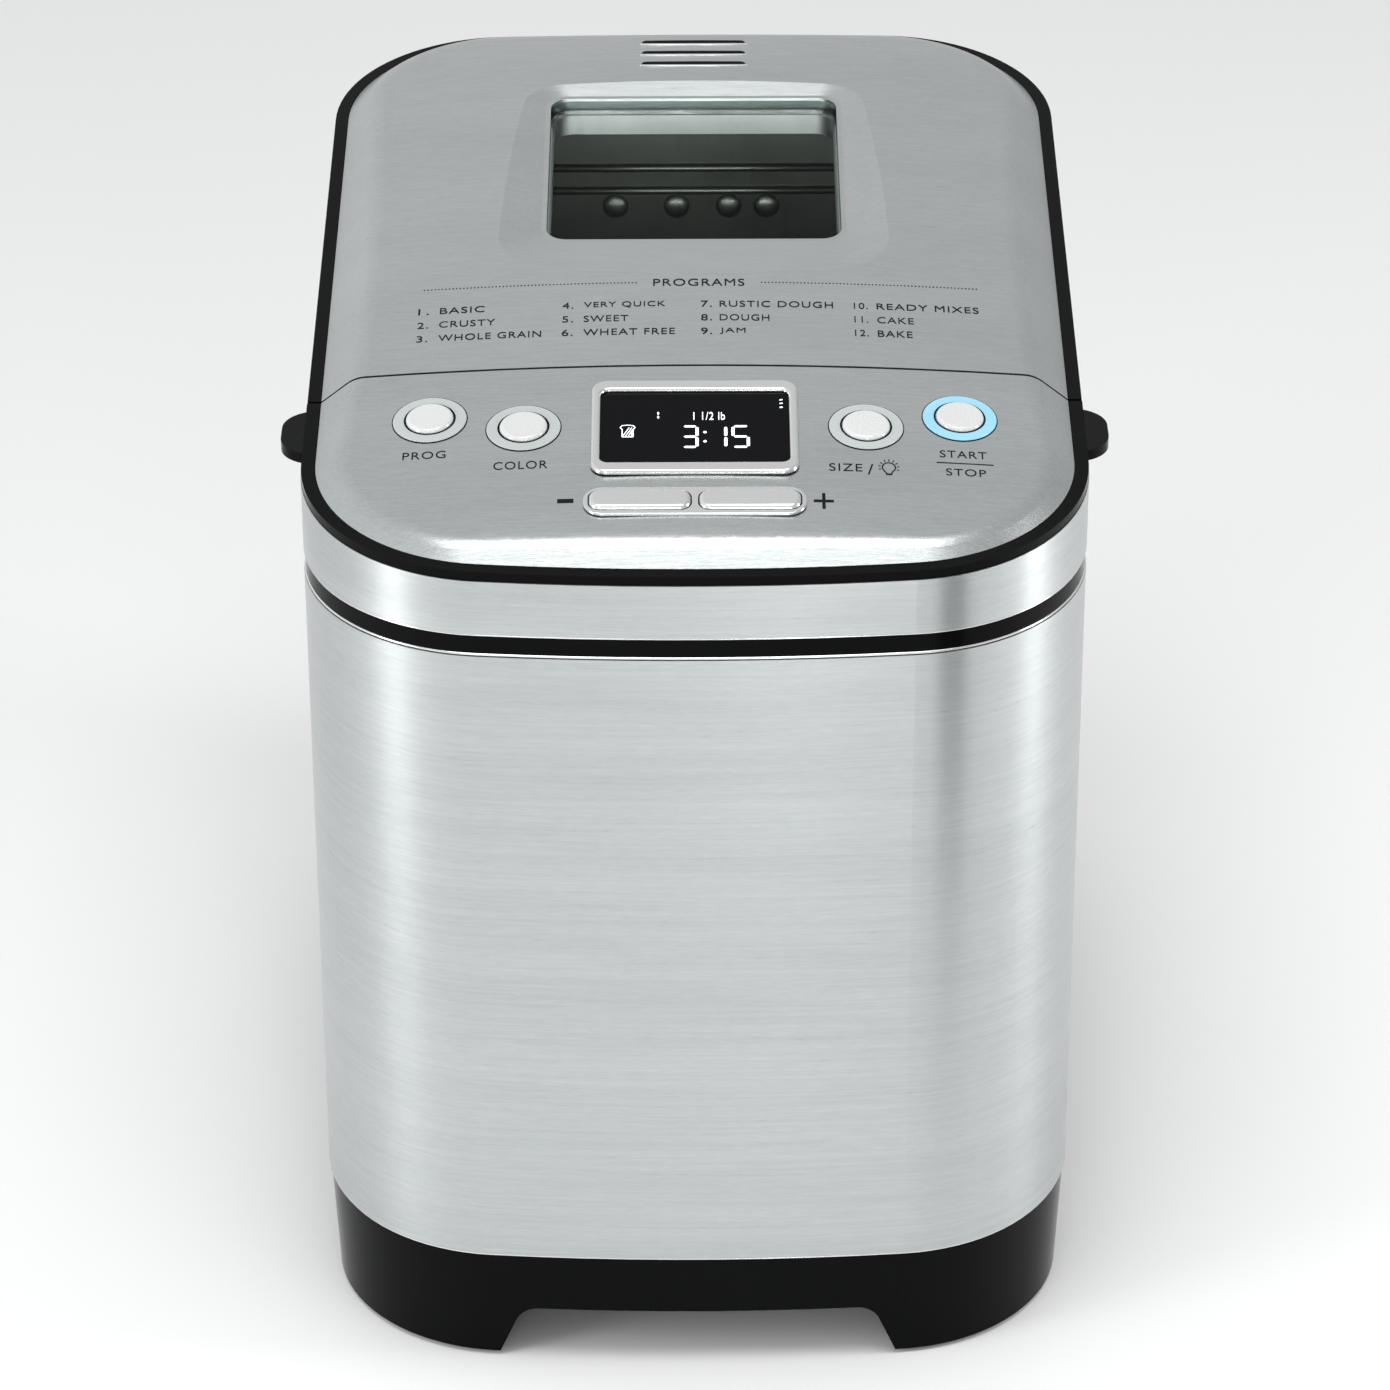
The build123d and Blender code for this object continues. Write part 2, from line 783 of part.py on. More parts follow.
def heater_terminals():
    with BuildPart() as terminals:
        with BuildSketch(Plane(origin=(0, oven_front_y + 1.5, 0), x_dir=(1, 0, 0), z_dir=(0, -1, 0))):
            with Locations((-terminal_x, element_z), (terminal_x, element_z)):
                Circle(6)
                Circle(3.25, mode=Mode.SUBTRACT)
        extrude(amount=9)
    save(terminals, "heater_terminals")


def temperature_sensor():
    with BuildPart() as sensor:
        with BuildSketch(Plane(origin=(0, oven_front_y + 14, 0), x_dir=(1, 0, 0), z_dir=(0, -1, 0))):
            with Locations((sensor_x, sensor_z)):
                Circle(2.9)
        extrude(amount=20)
        with BuildSketch(Plane(origin=(0, oven_front_y - sheet, 0), x_dir=(1, 0, 0), z_dir=(0, -1, 0))):
            with Locations((sensor_x, sensor_z)):
                RectangleRounded(22, 10, 3)
        extrude(amount=2)
    save(sensor, "temperature_sensor")


def oven_lamp():
    outside = Plane(origin=(oven_half + sheet, lamp_y, lamp_z), x_dir=(0, 1, 0), z_dir=(1, 0, 0))
    with BuildPart() as cover:
        with BuildSketch(outside):
            Circle(17)
        extrude(amount=2)
        with BuildSketch(outside.offset(-sheet - 2)):
            Circle(13.8)
        extrude(amount=sheet + 2)
        with BuildSketch(outside.offset(2.1)):
            Circle(12)
        extrude(amount=-4, mode=Mode.SUBTRACT)
    save(cover, "lamp_cover")
    with BuildPart() as lamp:
        with BuildSketch(outside.offset(2.2)):
            with Locations((0, 0)):
                RectangleRounded(30, 16, 4)
        extrude(amount=12)
        with BuildSketch(outside.offset(-1)):
            Circle(7)
        extrude(amount=3.4)
    save(lamp, "oven_lamp")


def pan_socket():
    """Pressed ring on the oven floor that the pan's collar drops into."""
    with BuildPart() as socket:
        with BuildSketch(Plane.XY.offset(oven_floor)):
            with Locations((0, drive_y)):
                Circle(collar_radius + 9)
                Circle(collar_radius - 10, mode=Mode.SUBTRACT)
        extrude(amount=1.2)
        with BuildSketch(Plane.XY.offset(oven_floor)):
            with Locations((0, drive_y)):
                Circle(collar_radius + 2.2)
                Circle(collar_radius + 1, mode=Mode.SUBTRACT)
        extrude(amount=9)
        with BuildSketch(Plane.XY.offset(oven_floor + 3)):
            with Locations((0, drive_y)):
                with PolarLocations(collar_radius, 3, start_angle=30):
                    Rectangle(12, 14)
        extrude(amount=8, mode=Mode.SUBTRACT)
    save(socket, "pan_socket")


# ---------------------------------------------------------------- drive
def chassis_plate():
    with BuildPart() as plate:
        with BuildSketch(Plane.XY.offset(chassis_low)):
            with Locations((0, -8)):
                RectangleRounded(206, 270, 30)
            with Locations(*chassis_posts()):
                Circle(1.7, mode=Mode.SUBTRACT)
            with Locations((0, drive_y)):
                Circle(7.5, mode=Mode.SUBTRACT)
            with Locations((0, motor_y)):
                Circle(8, mode=Mode.SUBTRACT)
        extrude(amount=chassis_high - chassis_low)
        # four posts under the oven floor
        with BuildSketch(Plane.XY.offset(chassis_high)):
            with Locations(*[(side * 75, y) for side in (-1, 1) for y in (-20, 115)]):
                Circle(5)
        extrude(amount=oven_floor - sheet - chassis_high)
    save(plate, "chassis_plate")


def bearing_block():
    top = oven_floor - sheet
    with BuildPart() as block:
        with BuildSketch(Plane.XY.offset(chassis_high)):
            with Locations((0, drive_y)):
                Circle(13)
        extrude(amount=top - chassis_high)
        with BuildSketch(Plane.XY.offset(chassis_high)):
            with Locations((0, drive_y)):
                RectangleRounded(46, 30, 6)
        extrude(amount=4)
        with BuildSketch(Plane.XY.offset(chassis_high)):
            with Locations((0, drive_y)):
                Circle(7)
        extrude(amount=top - chassis_high, mode=Mode.SUBTRACT)
    save(block, "bearing_block")
    with BuildPart() as bushes:
        for low in (chassis_high, top - 7):
            with BuildSketch(Plane.XY.offset(low)):
                with Locations((0, drive_y)):
                    Circle(7)
                    Circle(shaft_radius + running, mode=Mode.SUBTRACT)
            extrude(amount=7)
    save(bushes, "bearing_bushes")


coupling_low = oven_floor + 1.5
coupling_high = oven_floor + 5.0


def drive_turning():
    """Shaft, pulley and coupling that turn under the oven."""
    with BuildPart() as shaft:
        with BuildSketch(Plane.XY.offset(pulley_low - 2)):
            with Locations((0, drive_y)):
                Circle(shaft_radius)
        extrude(amount=coupling_high - pulley_low + 2)
    save(shaft, "drive_shaft")
    with BuildPart() as pulley:
        add(flat_pulley(drive_y, drive_pulley_radius, shaft_radius))
    save(pulley, "drive_pulley")
    with BuildPart() as coupling:
        with BuildSketch(Plane.XY.offset(coupling_low)):
            with Locations((0, drive_y)):
                Circle(7)
                Rectangle(26, 6)
                Circle(shaft_radius, mode=Mode.SUBTRACT)
        extrude(amount=coupling_high - coupling_low)
    save(coupling, "drive_coupling")


def flat_pulley(y, radius, bore):
    """A pulley whose rim sits just inside the belt, with a flange above and below it."""
    flange = 1.0
    with BuildPart() as wheel:
        with BuildSketch(Plane.XY.offset(pulley_low)):
            with Locations((0, y)):
                Circle(radius)
        extrude(amount=pulley_height)
        for low in (pulley_low, pulley_low + pulley_height - flange):
            with BuildSketch(Plane.XY.offset(low)):
                with Locations((0, y)):
                    Circle(radius + belt_thickness + 1)
            extrude(amount=flange)
        with BuildSketch(Plane.XY.offset(pulley_low)):
            with Locations((0, y)):
                Circle(bore)
        extrude(amount=pulley_height, mode=Mode.SUBTRACT)
    return wheel.part


def motor_turning():
    with BuildPart() as shaft:
        with BuildSketch(Plane.XY.offset(pulley_low - 1)):
            with Locations((0, motor_y)):
                Circle(motor_shaft_radius)
        extrude(amount=chassis_high + 14 - pulley_low + 1)
    save(shaft, "motor_shaft")
    with BuildPart() as pulley:
        add(flat_pulley(motor_y, motor_pulley_radius, motor_shaft_radius))
    save(pulley, "motor_pulley")


def belt_loop(extra):
    with BuildSketch() as loop:
        with Locations((0, drive_y)):
            Circle(drive_pulley_radius + belt_clearance + extra)
        with Locations((0, motor_y)):
            Circle(motor_pulley_radius + belt_clearance + extra)
        make_hull()
    return loop.sketch


def drive_belt():
    with BuildPart() as belt:
        with BuildSketch(Plane.XY.offset(pulley_low + 1.4)):
            add(belt_loop(belt_thickness))
            add(belt_loop(0), mode=Mode.SUBTRACT)
        extrude(amount=pulley_height - 2.8)
    save(belt, "drive_belt")


def motor():
    length = 62
    with BuildPart() as body:
        with BuildSketch(Plane.XY.offset(chassis_high)):
            with Locations((0, motor_y)):
                Circle(7.8)
        extrude(amount=-2)
        with BuildSketch(Plane.XY.offset(chassis_high)):
            with Locations((0, motor_y)):
                Rectangle(62, 52)
        extrude(amount=3)
        with BuildSketch(Plane.XY.offset(chassis_high + 3)):
            with Locations((0, motor_y)):
                Circle(28)
        extrude(amount=length)
        fillet(body.edges().group_by(Axis.Z)[-1], 4)
        with BuildSketch(Plane.XY.offset(chassis_high + 16)):
            with Locations((0, motor_y)):
                Rectangle(66, 40)
        extrude(amount=30)
        with BuildSketch(Plane.XY.offset(chassis_low)):
            with Locations((0, motor_y)):
                Circle(motor_shaft_radius + running)
        extrude(amount=16.5, mode=Mode.SUBTRACT)
    save(body, "motor")


def boards():
    shield_y = -62
    with BuildPart() as shield:
        with BuildSketch(Plane(origin=(0, shield_y, 0), x_dir=(1, 0, 0), z_dir=(0, 1, 0))):
            with Locations((0, -157)):
                Rectangle(226, 218)
        extrude(amount=sheet)
    save(shield, "heat_shield")
    with BuildPart() as board:
        face = Plane(origin=(0, shield_y - 8, 0), x_dir=(1, 0, 0), z_dir=(0, -1, 0))
        with BuildSketch(face):
            with Locations((0, 190)):
                Rectangle(150, 80)
        extrude(amount=1.6)
        with BuildSketch(face.offset(1.6)):
            with Locations((-50, 190)):
                Rectangle(34, 30)
        extrude(amount=28)
        with BuildSketch(face.offset(1.6)):
            with Locations((-5, 205), (18, 205)):
                Rectangle(18, 14)
            with Locations((55, 205), (55, 178)):
                Circle(8)
        extrude(amount=16)
        with BuildSketch(face.offset(1.6)):
            with Locations((5, 170)):
                Rectangle(40, 12)
        extrude(amount=10)
    save(board, "power_board")


# ---------------------------------------------------------------- hinge
def across_knuckle(x):
    return Plane(origin=(x, pivot_y, pivot_z), x_dir=(0, 1, 0), z_dir=(1, 0, 0))


def hinge_pieces():
    ear = 4
    side_gap = 0.4
    reach = knuckle_width / 2 + side_gap
    with BuildPart() as brackets:
        for x in (-hinge_x, hinge_x):
            for start in (x - reach - ear, x + reach):
                with BuildSketch(across_knuckle(start)):
                    Circle(knuckle_radius)
                    with Locations(((back_y - pivot_y) / 2, -8)):
                        Rectangle(pivot_y - back_y, 16)
                    with Locations((0.0, -9)):
                        Rectangle(4, 9)
                    Circle(hinge_pin_radius, mode=Mode.SUBTRACT)
                extrude(amount=ear)
            with BuildSketch(Plane(origin=(x, back_y, 0), x_dir=(-1, 0, 0), z_dir=(0, 1, 0))):
                with Locations((0, pivot_z - 22)):
                    RectangleRounded(26, 20, 3)
            extrude(amount=4)
        # nothing reaches into the casing
        with BuildSketch(Plane.XY.offset(200)):
            with Locations((0, back_y - 20)):
                Rectangle(200, 40)
        extrude(amount=200, mode=Mode.SUBTRACT)
    save(brackets, "hinge_brackets")
    with BuildPart() as pins:
        for x in (-hinge_x, hinge_x):
            with BuildSketch(across_knuckle(x - reach - ear)):
                Circle(hinge_pin_radius)
            extrude(amount=2 * (reach + ear))
    save(pins, "hinge_pins")


# ---------------------------------------------------------------- lid
liner_high = -3.4
liner_front_run = 104.0
liner_back_run = 324.0
glass_low = 4.6
glass_thick = 3.0


def lid_opening():
    return (liner_back_run + liner_front_run) / 2, liner_back_run - liner_front_run


def lid_frame():
    """Black moulded frame under the lid plate, with the hinge knuckles on its back edge."""
    front_run = seam_run + seam_gap / 2
    bottom = -rim_height + rim_gap
    middle, span = lid_opening()
    # raised ledge inside the plate's edge
    with BuildPart() as ledge:
        add(ring(rim(bottom + 1), -bottom - 1.5, plate_inset + plate_sheet + lap, plate_inset + 5, slope=True))
        split(bisect_by=seam(front_run), keep=Keep.TOP)
    with BuildPart() as room:
        add(crown_volume(plate_inset + under_plate, plate_sheet + under_crown))
        add(prism(outline(plate_inset + under_plate, slope=True), rim(bottom), -bottom))
    with BuildPart() as frame:
        add(ring(rim(bottom), -bottom, 0.3, plate_inset - lap, slope=True))
        add(prism(outline(0.3, slope=True), rim(bottom), 1))
        split(bisect_by=seam(front_run), keep=Keep.TOP)
        # opening that the window and its dish hang into
        with BuildSketch(rim(bottom)):
            with Locations((0, window_run)):
                RectangleRounded(window_wide + 16, window_long + 16, 12)
        extrude(amount=5, mode=Mode.SUBTRACT)
        add(ledge.part)
    with BuildPart() as front_wall:
        with BuildSketch(seam(front_run)):
            Rectangle(2 * half_width, 60)
        extrude(amount=1.8)
        add(room.part, mode=Mode.INTERSECT)
    with BuildPart() as whole:
        add(frame.part)
        add(front_wall.part)
        for x in (-hinge_x, hinge_x):
            with BuildSketch(across_knuckle(x - knuckle_width / 2)):
                Circle(lid_knuckle_radius)
                with BuildLine():
                    Polyline((-4.0, 0), (-4.9, 4.5), (-4.9, 7.6), (-3.0, 7.6), (3.6, 4.0), (4.1, 0), close=True)
                make_face()
            extrude(amount=knuckle_width)
        # the knuckle's web stops at the frame's back edge, and the frame takes over
        with BuildSketch(rim(bottom - 20)):
            add(outline(-0.5, slope=True))
        extrude(amount=20, mode=Mode.SUBTRACT)
        for x in (-hinge_x, hinge_x):
            with BuildSketch(across_knuckle(x - knuckle_width)):
                Circle(hinge_pin_radius + running)
            extrude(amount=2 * knuckle_width, mode=Mode.SUBTRACT)
    save(whole, "lid_frame")


def lid_inner():
    middle, span = lid_opening()
    wide = 2 * (half_width - 14)
    with BuildPart() as liner:
        with BuildSketch(rim(liner_high - sheet)):
            with Locations((0, middle)):
                RectangleRounded(wide, span, 34)
            with Locations((0, window_run)):
                RectangleRounded(window_wide - 2, window_long - 2, window_corner, mode=Mode.SUBTRACT)
            with Locations(*lid_screw_spots()):
                Circle(1.7, mode=Mode.SUBTRACT)
        extrude(amount=sheet)
        with BuildSketch(rim(liner_high - sheet)):
            with Locations((0, window_run)):
                RectangleRounded(window_wide - 2 + 2 * sheet, window_long - 2 + 2 * sheet, window_corner + sheet)
                RectangleRounded(window_wide - 2, window_long - 2, window_corner, mode=Mode.SUBTRACT)
        extrude(amount=glass_low - 1.6 - liner_high + sheet)
    save(liner, "lid_liner")
    with BuildPart() as screws:
        with BuildSketch(rim(liner_high - sheet - 1.4)):
            with Locations(*lid_screw_spots()):
                Circle(3)
        extrude(amount=1.4)
        with BuildSketch(rim(liner_high - sheet)):
            with Locations(*lid_screw_spots()):
                Circle(1.6)
        extrude(amount=sheet)
    save(screws, "lid_screws")
    with BuildPart() as seal:
        with BuildSketch(rim(rim_plate_high + clear)):
            with Locations((0, middle)):
                RectangleRounded(wide - 1, span - 1, 33)
                RectangleRounded(wide - 8, span - 8, 29.5, mode=Mode.SUBTRACT)
        extrude(amount=liner_high - sheet - rim_plate_high - clear)
    save(seal, "lid_seal")
    with BuildPart() as glass:
        with BuildSketch(rim(glass_low)):
            with Locations((0, window_run)):
                RectangleRounded(window_wide + 8, window_long + 8, 9)
        extrude(amount=glass_thick)
    save(glass, "window_glass")
    with BuildPart() as retainer:
        with BuildSketch(rim(glass_low - 1.5)):
            with Locations((0, window_run)):
                RectangleRounded(window_wide + 12, window_long + 12, 11)
                RectangleRounded(window_wide - 1, window_long - 1, window_corner, mode=Mode.SUBTRACT)
        extrude(amount=1.5)
        with BuildSketch(rim(glass_low - 1.5)):
            with Locations((0, window_run)):
                RectangleRounded(window_wide + 12, window_long + 12, 11)
                RectangleRounded(window_wide + 8.4, window_long + 8.4, 9.2, mode=Mode.SUBTRACT)
        extrude(amount=glass_thick + 1.5)
    save(retainer, "window_frame")


def lid_screw_spots():
    middle, span = lid_opening()
    return [(side * 86, middle + end * (span / 2 - 24)) for side in (-1, 1) for end in (-1, 1)]


# ---------------------------------------------------------------- pan
def pan_outline(grow):
    with BuildSketch() as plan:
        with Locations((0, drive_y)):
            RectangleRounded(2 * (pan_half_x + grow), 2 * (pan_half_y + grow), pan_corner + grow)
    return plan.sketch


def bread_pan():
    lip = 2.0
    with BuildPart() as pan:
        add(prism(pan_outline(0), Plane.XY.offset(pan_low), pan_high - pan_low))
        add(prism(pan_outline(-pan_sheet), Plane.XY.offset(pan_low + pan_sheet), 200), mode=Mode.SUBTRACT)
        with BuildSketch(Plane.XY.offset(pan_high - 3)):
            add(pan_outline(lip))
            add(pan_outline(-pan_sheet), mode=Mode.SUBTRACT)
        extrude(amount=3)
        for side in (-1, 1):
            with BuildSketch(Plane(origin=(side * pan_half_x, drive_y, bail_z), x_dir=(0, 1, 0), z_dir=(side, 0, 0))):
                RectangleRounded(16, 16, 5)
            extrude(amount=4)
        with BuildSketch(Plane(origin=(-90, drive_y, bail_z), x_dir=(0, 1, 0), z_dir=(1, 0, 0))):
            Circle(bail_wire + running)
        extrude(amount=180, mode=Mode.SUBTRACT)
        with BuildSketch(Plane.XY.offset(pan_low - 2)):
            with Locations((0, drive_y)):
                Circle(7)
        extrude(amount=6, mode=Mode.SUBTRACT)
    save(pan, "bread_pan")


def pan_base():
    """Collar under the pan, with the bearing that its shaft runs in."""
    low = oven_floor + 3
    with BuildPart() as base:
        with BuildSketch(Plane.XY.offset(low)):
            with Locations((0, drive_y)):
                Circle(collar_radius)
                Circle(collar_radius - 2, mode=Mode.SUBTRACT)
        extrude(amount=pan_low - low)
        with BuildSketch(Plane.XY.offset(pan_low - 2)):
            with Locations((0, drive_y)):
                Circle(collar_radius)
        extrude(amount=2)
        with BuildSketch(Plane.XY.offset(pan_low - 2)):
            with Locations((0, drive_y)):
                Circle(6.9)
        extrude(amount=10)
        with BuildSketch(Plane.XY.offset(low)):
            with Locations((0, drive_y)):
                Circle(shaft_radius + running)
        extrude(amount=40, mode=Mode.SUBTRACT)
    save(base, "pan_base")


def pan_turning():
    wing_low = coupling_high + 0.6
    wing_high = pan_low - 2.8
    shaft_high = pan_low + 26
    with BuildPart() as shaft:
        with BuildSketch(Plane.XY.offset(wing_low)):
            with Locations((0, drive_y)):
                Circle(shaft_radius)
        extrude(amount=shaft_high - wing_low)
        with BuildSketch(Plane.XY.offset(wing_low)):
            with Locations((0, drive_y)):
                Circle(8)
                Rectangle(34, 8)
        extrude(amount=wing_high - wing_low)
        # two lugs reach down on each side of the drive coupling
        with BuildSketch(Plane.XY.offset(coupling_low + 0.5)):
            for side in (-1, 1):
                with Locations((side * 14.0, drive_y + side * 6.4)):
                    Rectangle(5, 5)
        extrude(amount=wing_high - coupling_low - 0.5)
    save(shaft, "pan_shaft")
    low = pan_low + pan_sheet + 7.3
    with BuildPart() as paddle:
        with BuildSketch(Plane.XY.offset(low)):
            with Locations((0, drive_y)):
                Circle(8.5)
        extrude(amount=shaft_high - low - 1, taper=5)
        with BuildSketch(Plane.XY.offset(low)):
            with BuildLine():
                Polyline((0, drive_y - 7), (34, drive_y - 4))
                ThreePointArc((34, drive_y - 4), (38, drive_y), (34, drive_y + 4))
                Polyline((34, drive_y + 4), (0, drive_y + 7), (0, drive_y - 7))
            make_face()
        extrude(amount=3)
        with BuildSketch(Plane(origin=(0, drive_y - 1.6, 0), x_dir=(1, 0, 0), z_dir=(0, -1, 0))):
            with BuildLine():
                Polyline((6, low + 1), (35, low + 1), (33, low + 16))
                ThreePointArc((33, low + 16), (24, low + 26), (12, low + 20))
                Polyline((12, low + 20), (6, low + 14), (6, low + 1))
            make_face()
        extrude(amount=-3.2)
        with BuildSketch(Plane.XY.offset(low - 1)):
            with Locations((0, drive_y)):
                Circle(shaft_radius)
        extrude(amount=60, mode=Mode.SUBTRACT)
    save(paddle, "kneading_paddle")


def pan_handle():
    """Wire bail, folded to the back at rest."""
    pin_end = pan_half_x + 0.4
    far_y = drive_y + bail_reach
    with BuildPart() as bail:
        with BuildLine():
            FilletPolyline(
                (-pin_end, drive_y, bail_z),
                (-bail_x, drive_y, bail_z),
                (-bail_x, far_y, bail_z),
                (bail_x, far_y, bail_z),
                (bail_x, drive_y, bail_z),
                (pin_end, drive_y, bail_z),
                radius=2.5,
            )
        with BuildSketch(Plane(origin=(-pin_end, drive_y, bail_z), x_dir=(0, 1, 0), z_dir=(-1, 0, 0))):
            Circle(bail_wire)
        sweep()
    save(bail, "pan_handle")
    with BuildPart() as grip:
        with BuildSketch(Plane(origin=(-30, far_y, bail_z), x_dir=(0, 1, 0), z_dir=(1, 0, 0))):
            Circle(4.5)
            Circle(bail_wire, mode=Mode.SUBTRACT)
        extrude(amount=60)
    save(grip, "handle_grip")


top_plates(plate_skins())
base_tray()
foot_pads()
base_screws()
body_wrap()
rear_cover()
cord_gland()
lower_trim()
upper_band()
side_handles()
control_housing()
display_pieces()
control_board()
control_switches()
button_pieces()
bar_buttons()
oven_liner()
oven_rim()
heating_element()
heater_terminals()
temperature_sensor()
oven_lamp()
pan_socket()
chassis_plate()
bearing_block()
drive_turning()
motor_turning()
drive_belt()
motor()
boards()
hinge_pieces()
lid_frame()
lid_inner()
bread_pan()
pan_base()
pan_turning()
pan_handle()
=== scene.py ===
# Bread machine: finishes, lettering, small fittings and studio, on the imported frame.
import json
from math import atan, cos, pi, radians, sin, sqrt

import bmesh
import bpy
from mathutils import Euler, Matrix, Vector


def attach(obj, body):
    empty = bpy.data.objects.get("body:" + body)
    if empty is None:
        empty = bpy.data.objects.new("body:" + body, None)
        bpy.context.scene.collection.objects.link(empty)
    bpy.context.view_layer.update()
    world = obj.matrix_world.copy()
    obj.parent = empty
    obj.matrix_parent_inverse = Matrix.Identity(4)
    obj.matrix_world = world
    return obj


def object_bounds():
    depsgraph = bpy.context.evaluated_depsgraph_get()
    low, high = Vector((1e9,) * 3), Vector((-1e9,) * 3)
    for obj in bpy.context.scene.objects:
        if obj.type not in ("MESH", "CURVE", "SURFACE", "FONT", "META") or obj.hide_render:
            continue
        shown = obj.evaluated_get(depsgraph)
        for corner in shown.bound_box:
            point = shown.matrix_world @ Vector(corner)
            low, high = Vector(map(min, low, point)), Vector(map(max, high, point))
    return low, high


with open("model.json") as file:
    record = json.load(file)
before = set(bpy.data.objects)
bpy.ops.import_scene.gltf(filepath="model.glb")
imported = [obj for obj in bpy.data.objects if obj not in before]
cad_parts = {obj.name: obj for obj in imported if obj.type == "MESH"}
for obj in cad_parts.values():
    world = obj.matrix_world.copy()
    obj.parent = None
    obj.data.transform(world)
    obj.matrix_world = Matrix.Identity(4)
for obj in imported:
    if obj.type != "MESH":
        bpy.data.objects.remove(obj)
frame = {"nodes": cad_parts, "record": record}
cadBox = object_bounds()
scene = bpy.context.scene
mm = 0.001


# camera first, then the studio
view = {"lens": 147.39, "sensor": 36, "place": (-0.0002, -1.6403, 1.1012), "tip": 59.87, "roll": -0.2}


def setCamera():
    data = bpy.data.cameras.new("camera")
    data.lens = view["lens"]
    data.sensor_width = view["sensor"]
    data.dof.use_dof = False
    camera = bpy.data.objects.new("camera", data)
    scene.collection.objects.link(camera)
    turn = Euler((radians(view["tip"]), 0, 0)).to_matrix() @ Matrix.Rotation(radians(view["roll"]), 3, "Z")
    camera.matrix_world = Matrix.Translation(view["place"]) @ turn.to_4x4()
    scene.camera = camera


setCamera()


class Wire:
    # one socket of a finish: sums and products on it add Math nodes
    def __init__(self, finish, socket):
        self.finish = finish
        self.socket = socket

    def maths(self, operation, first, second):
        return self.finish.add("ShaderNodeMath", {"operation": operation}, {0: first, 1: second})

    def __add__(self, other):
        return self.maths("ADD", self, other)

    def __radd__(self, other):
        return self.maths("ADD", other, self)

    def __sub__(self, other):
        return self.maths("SUBTRACT", self, other)

    def __rsub__(self, other):
        return self.maths("SUBTRACT", other, self)

    def __mul__(self, other):
        return self.maths("MULTIPLY", self, other)

    def __rmul__(self, other):
        return self.maths("MULTIPLY", other, self)

    def above(self, level):
        return self.maths("GREATER_THAN", self, level)

    def clamped(self):
        return self.finish.add("ShaderNodeClamp", {}, {0: self})


class Finish:
    # a node material that is put together by hand
    def __init__(self, name):
        self.material = bpy.data.materials.new(name)
        self.material.use_nodes = True
        self.tree = self.material.node_tree
        self.tree.nodes.clear()

    def add(self, kind, settings, sockets, out=0):
        node = self.tree.nodes.new(kind)
        for key, value in settings.items():
            if key == "stops":
                while len(node.color_ramp.elements) < len(value):
                    node.color_ramp.elements.new(1)
                for element, (place, colour) in zip(node.color_ramp.elements, value):
                    element.position = place
                    element.color = (*colour, 1)
            else:
                setattr(node, key, value)
        for key, value in sockets.items():
            if isinstance(value, Wire):
                self.tree.links.new(value.socket, node.inputs[key])
            else:
                node.inputs[key].default_value = value
        return Wire(self, node.outputs[out])

    def place(self, stretch=(1, 1, 1), centre=(0, 0, 0), turn=(0, 0, 0)):
        spot = self.add("ShaderNodeTexCoord", {}, {}, 3)
        spot = self.add("ShaderNodeVectorMath", {"operation": "SUBTRACT"}, {0: spot, 1: centre})
        return self.add("ShaderNodeMapping", {}, {"Vector": spot, "Scale": stretch, "Rotation": turn})

    def noise(self, stretch, detail=3.0, rough=0.55, centre=(0, 0, 0)):
        sockets = {"Vector": self.place(stretch, centre), "Scale": 1.0, "Detail": detail, "Roughness": rough}
        return self.add("ShaderNodeTexNoise", {}, sockets)

    def blend(self, amount, dark, light):
        return self.add("ShaderNodeMix", {"data_type": "RGBA"}, {0: amount, 6: colour(dark), 7: colour(light)}, 2)

    def bump(self, height, depth, strength=1.0):
        return self.add("ShaderNodeBump", {}, {"Height": height, "Distance": depth, "Strength": strength})

    def surface(self, sockets):
        return self.end(self.add("ShaderNodeBsdfPrincipled", {}, sockets))

    def end(self, shader):
        output = self.tree.nodes.new("ShaderNodeOutputMaterial")
        self.tree.links.new(shader.socket, output.inputs["Surface"])
        return self.material


def colour(value):
    if isinstance(value, Wire) or len(value) == 4:
        return value
    return (*value, 1)


# finishes
steel = {
    "light": (0.66, 0.685, 0.685),
    "dark": (0.47, 0.495, 0.505),
    "rough": 0.30,
    "groove": 0.00002,
    "pull": 0.7,
}


def brushed(name, long, short, across, tone=1.0, rough=None, pull=None):
    # drawn grain: long soft streaks under short fine scratches, with slow clouds of tone
    f = Finish(name)
    streak = f.noise(long, 4.0, 0.65)
    scratch = f.noise(short, 3.0, 0.7)
    cloud = f.noise(across, 2.0, 0.5)
    grain = streak * 0.5 + scratch * 0.5
    shade = (grain * 1.7 + cloud * 0.5 - 0.6).clamped()
    light = [c * tone for c in steel["light"]]
    dark = [c * tone for c in steel["dark"]]
    return f.surface({
        "Base Color": f.blend(shade, dark, light),
        "Metallic": 1.0,
        "Roughness": (grain * 0.16 + ((rough or steel["rough"]) - 0.08)).clamped(),
        "Anisotropic": steel["pull"] if pull is None else pull,
        "Anisotropic Rotation": 0.25,
        "Normal": f.bump(grain, steel["groove"], 0.9),
    })


def plastic(name, tone, rough, pebble, depth, coat=0.0, shine=0.5):
    f = Finish(name)
    fine = f.noise((pebble, pebble, pebble), 2.0)
    haze = f.noise((14, 14, 14), 3.0)
    light = [c * 1.25 + 0.0005 for c in tone]
    return f.surface({
        "Base Color": f.blend(haze, tone, light),
        "Roughness": (haze * 0.12 + fine * 0.08 + (rough - 0.1)).clamped(),
        "Specular IOR Level": shine,
        "Coat Weight": coat,
        "Coat Roughness": 0.08,
        "Normal": f.bump(fine, depth, 0.6),
    })


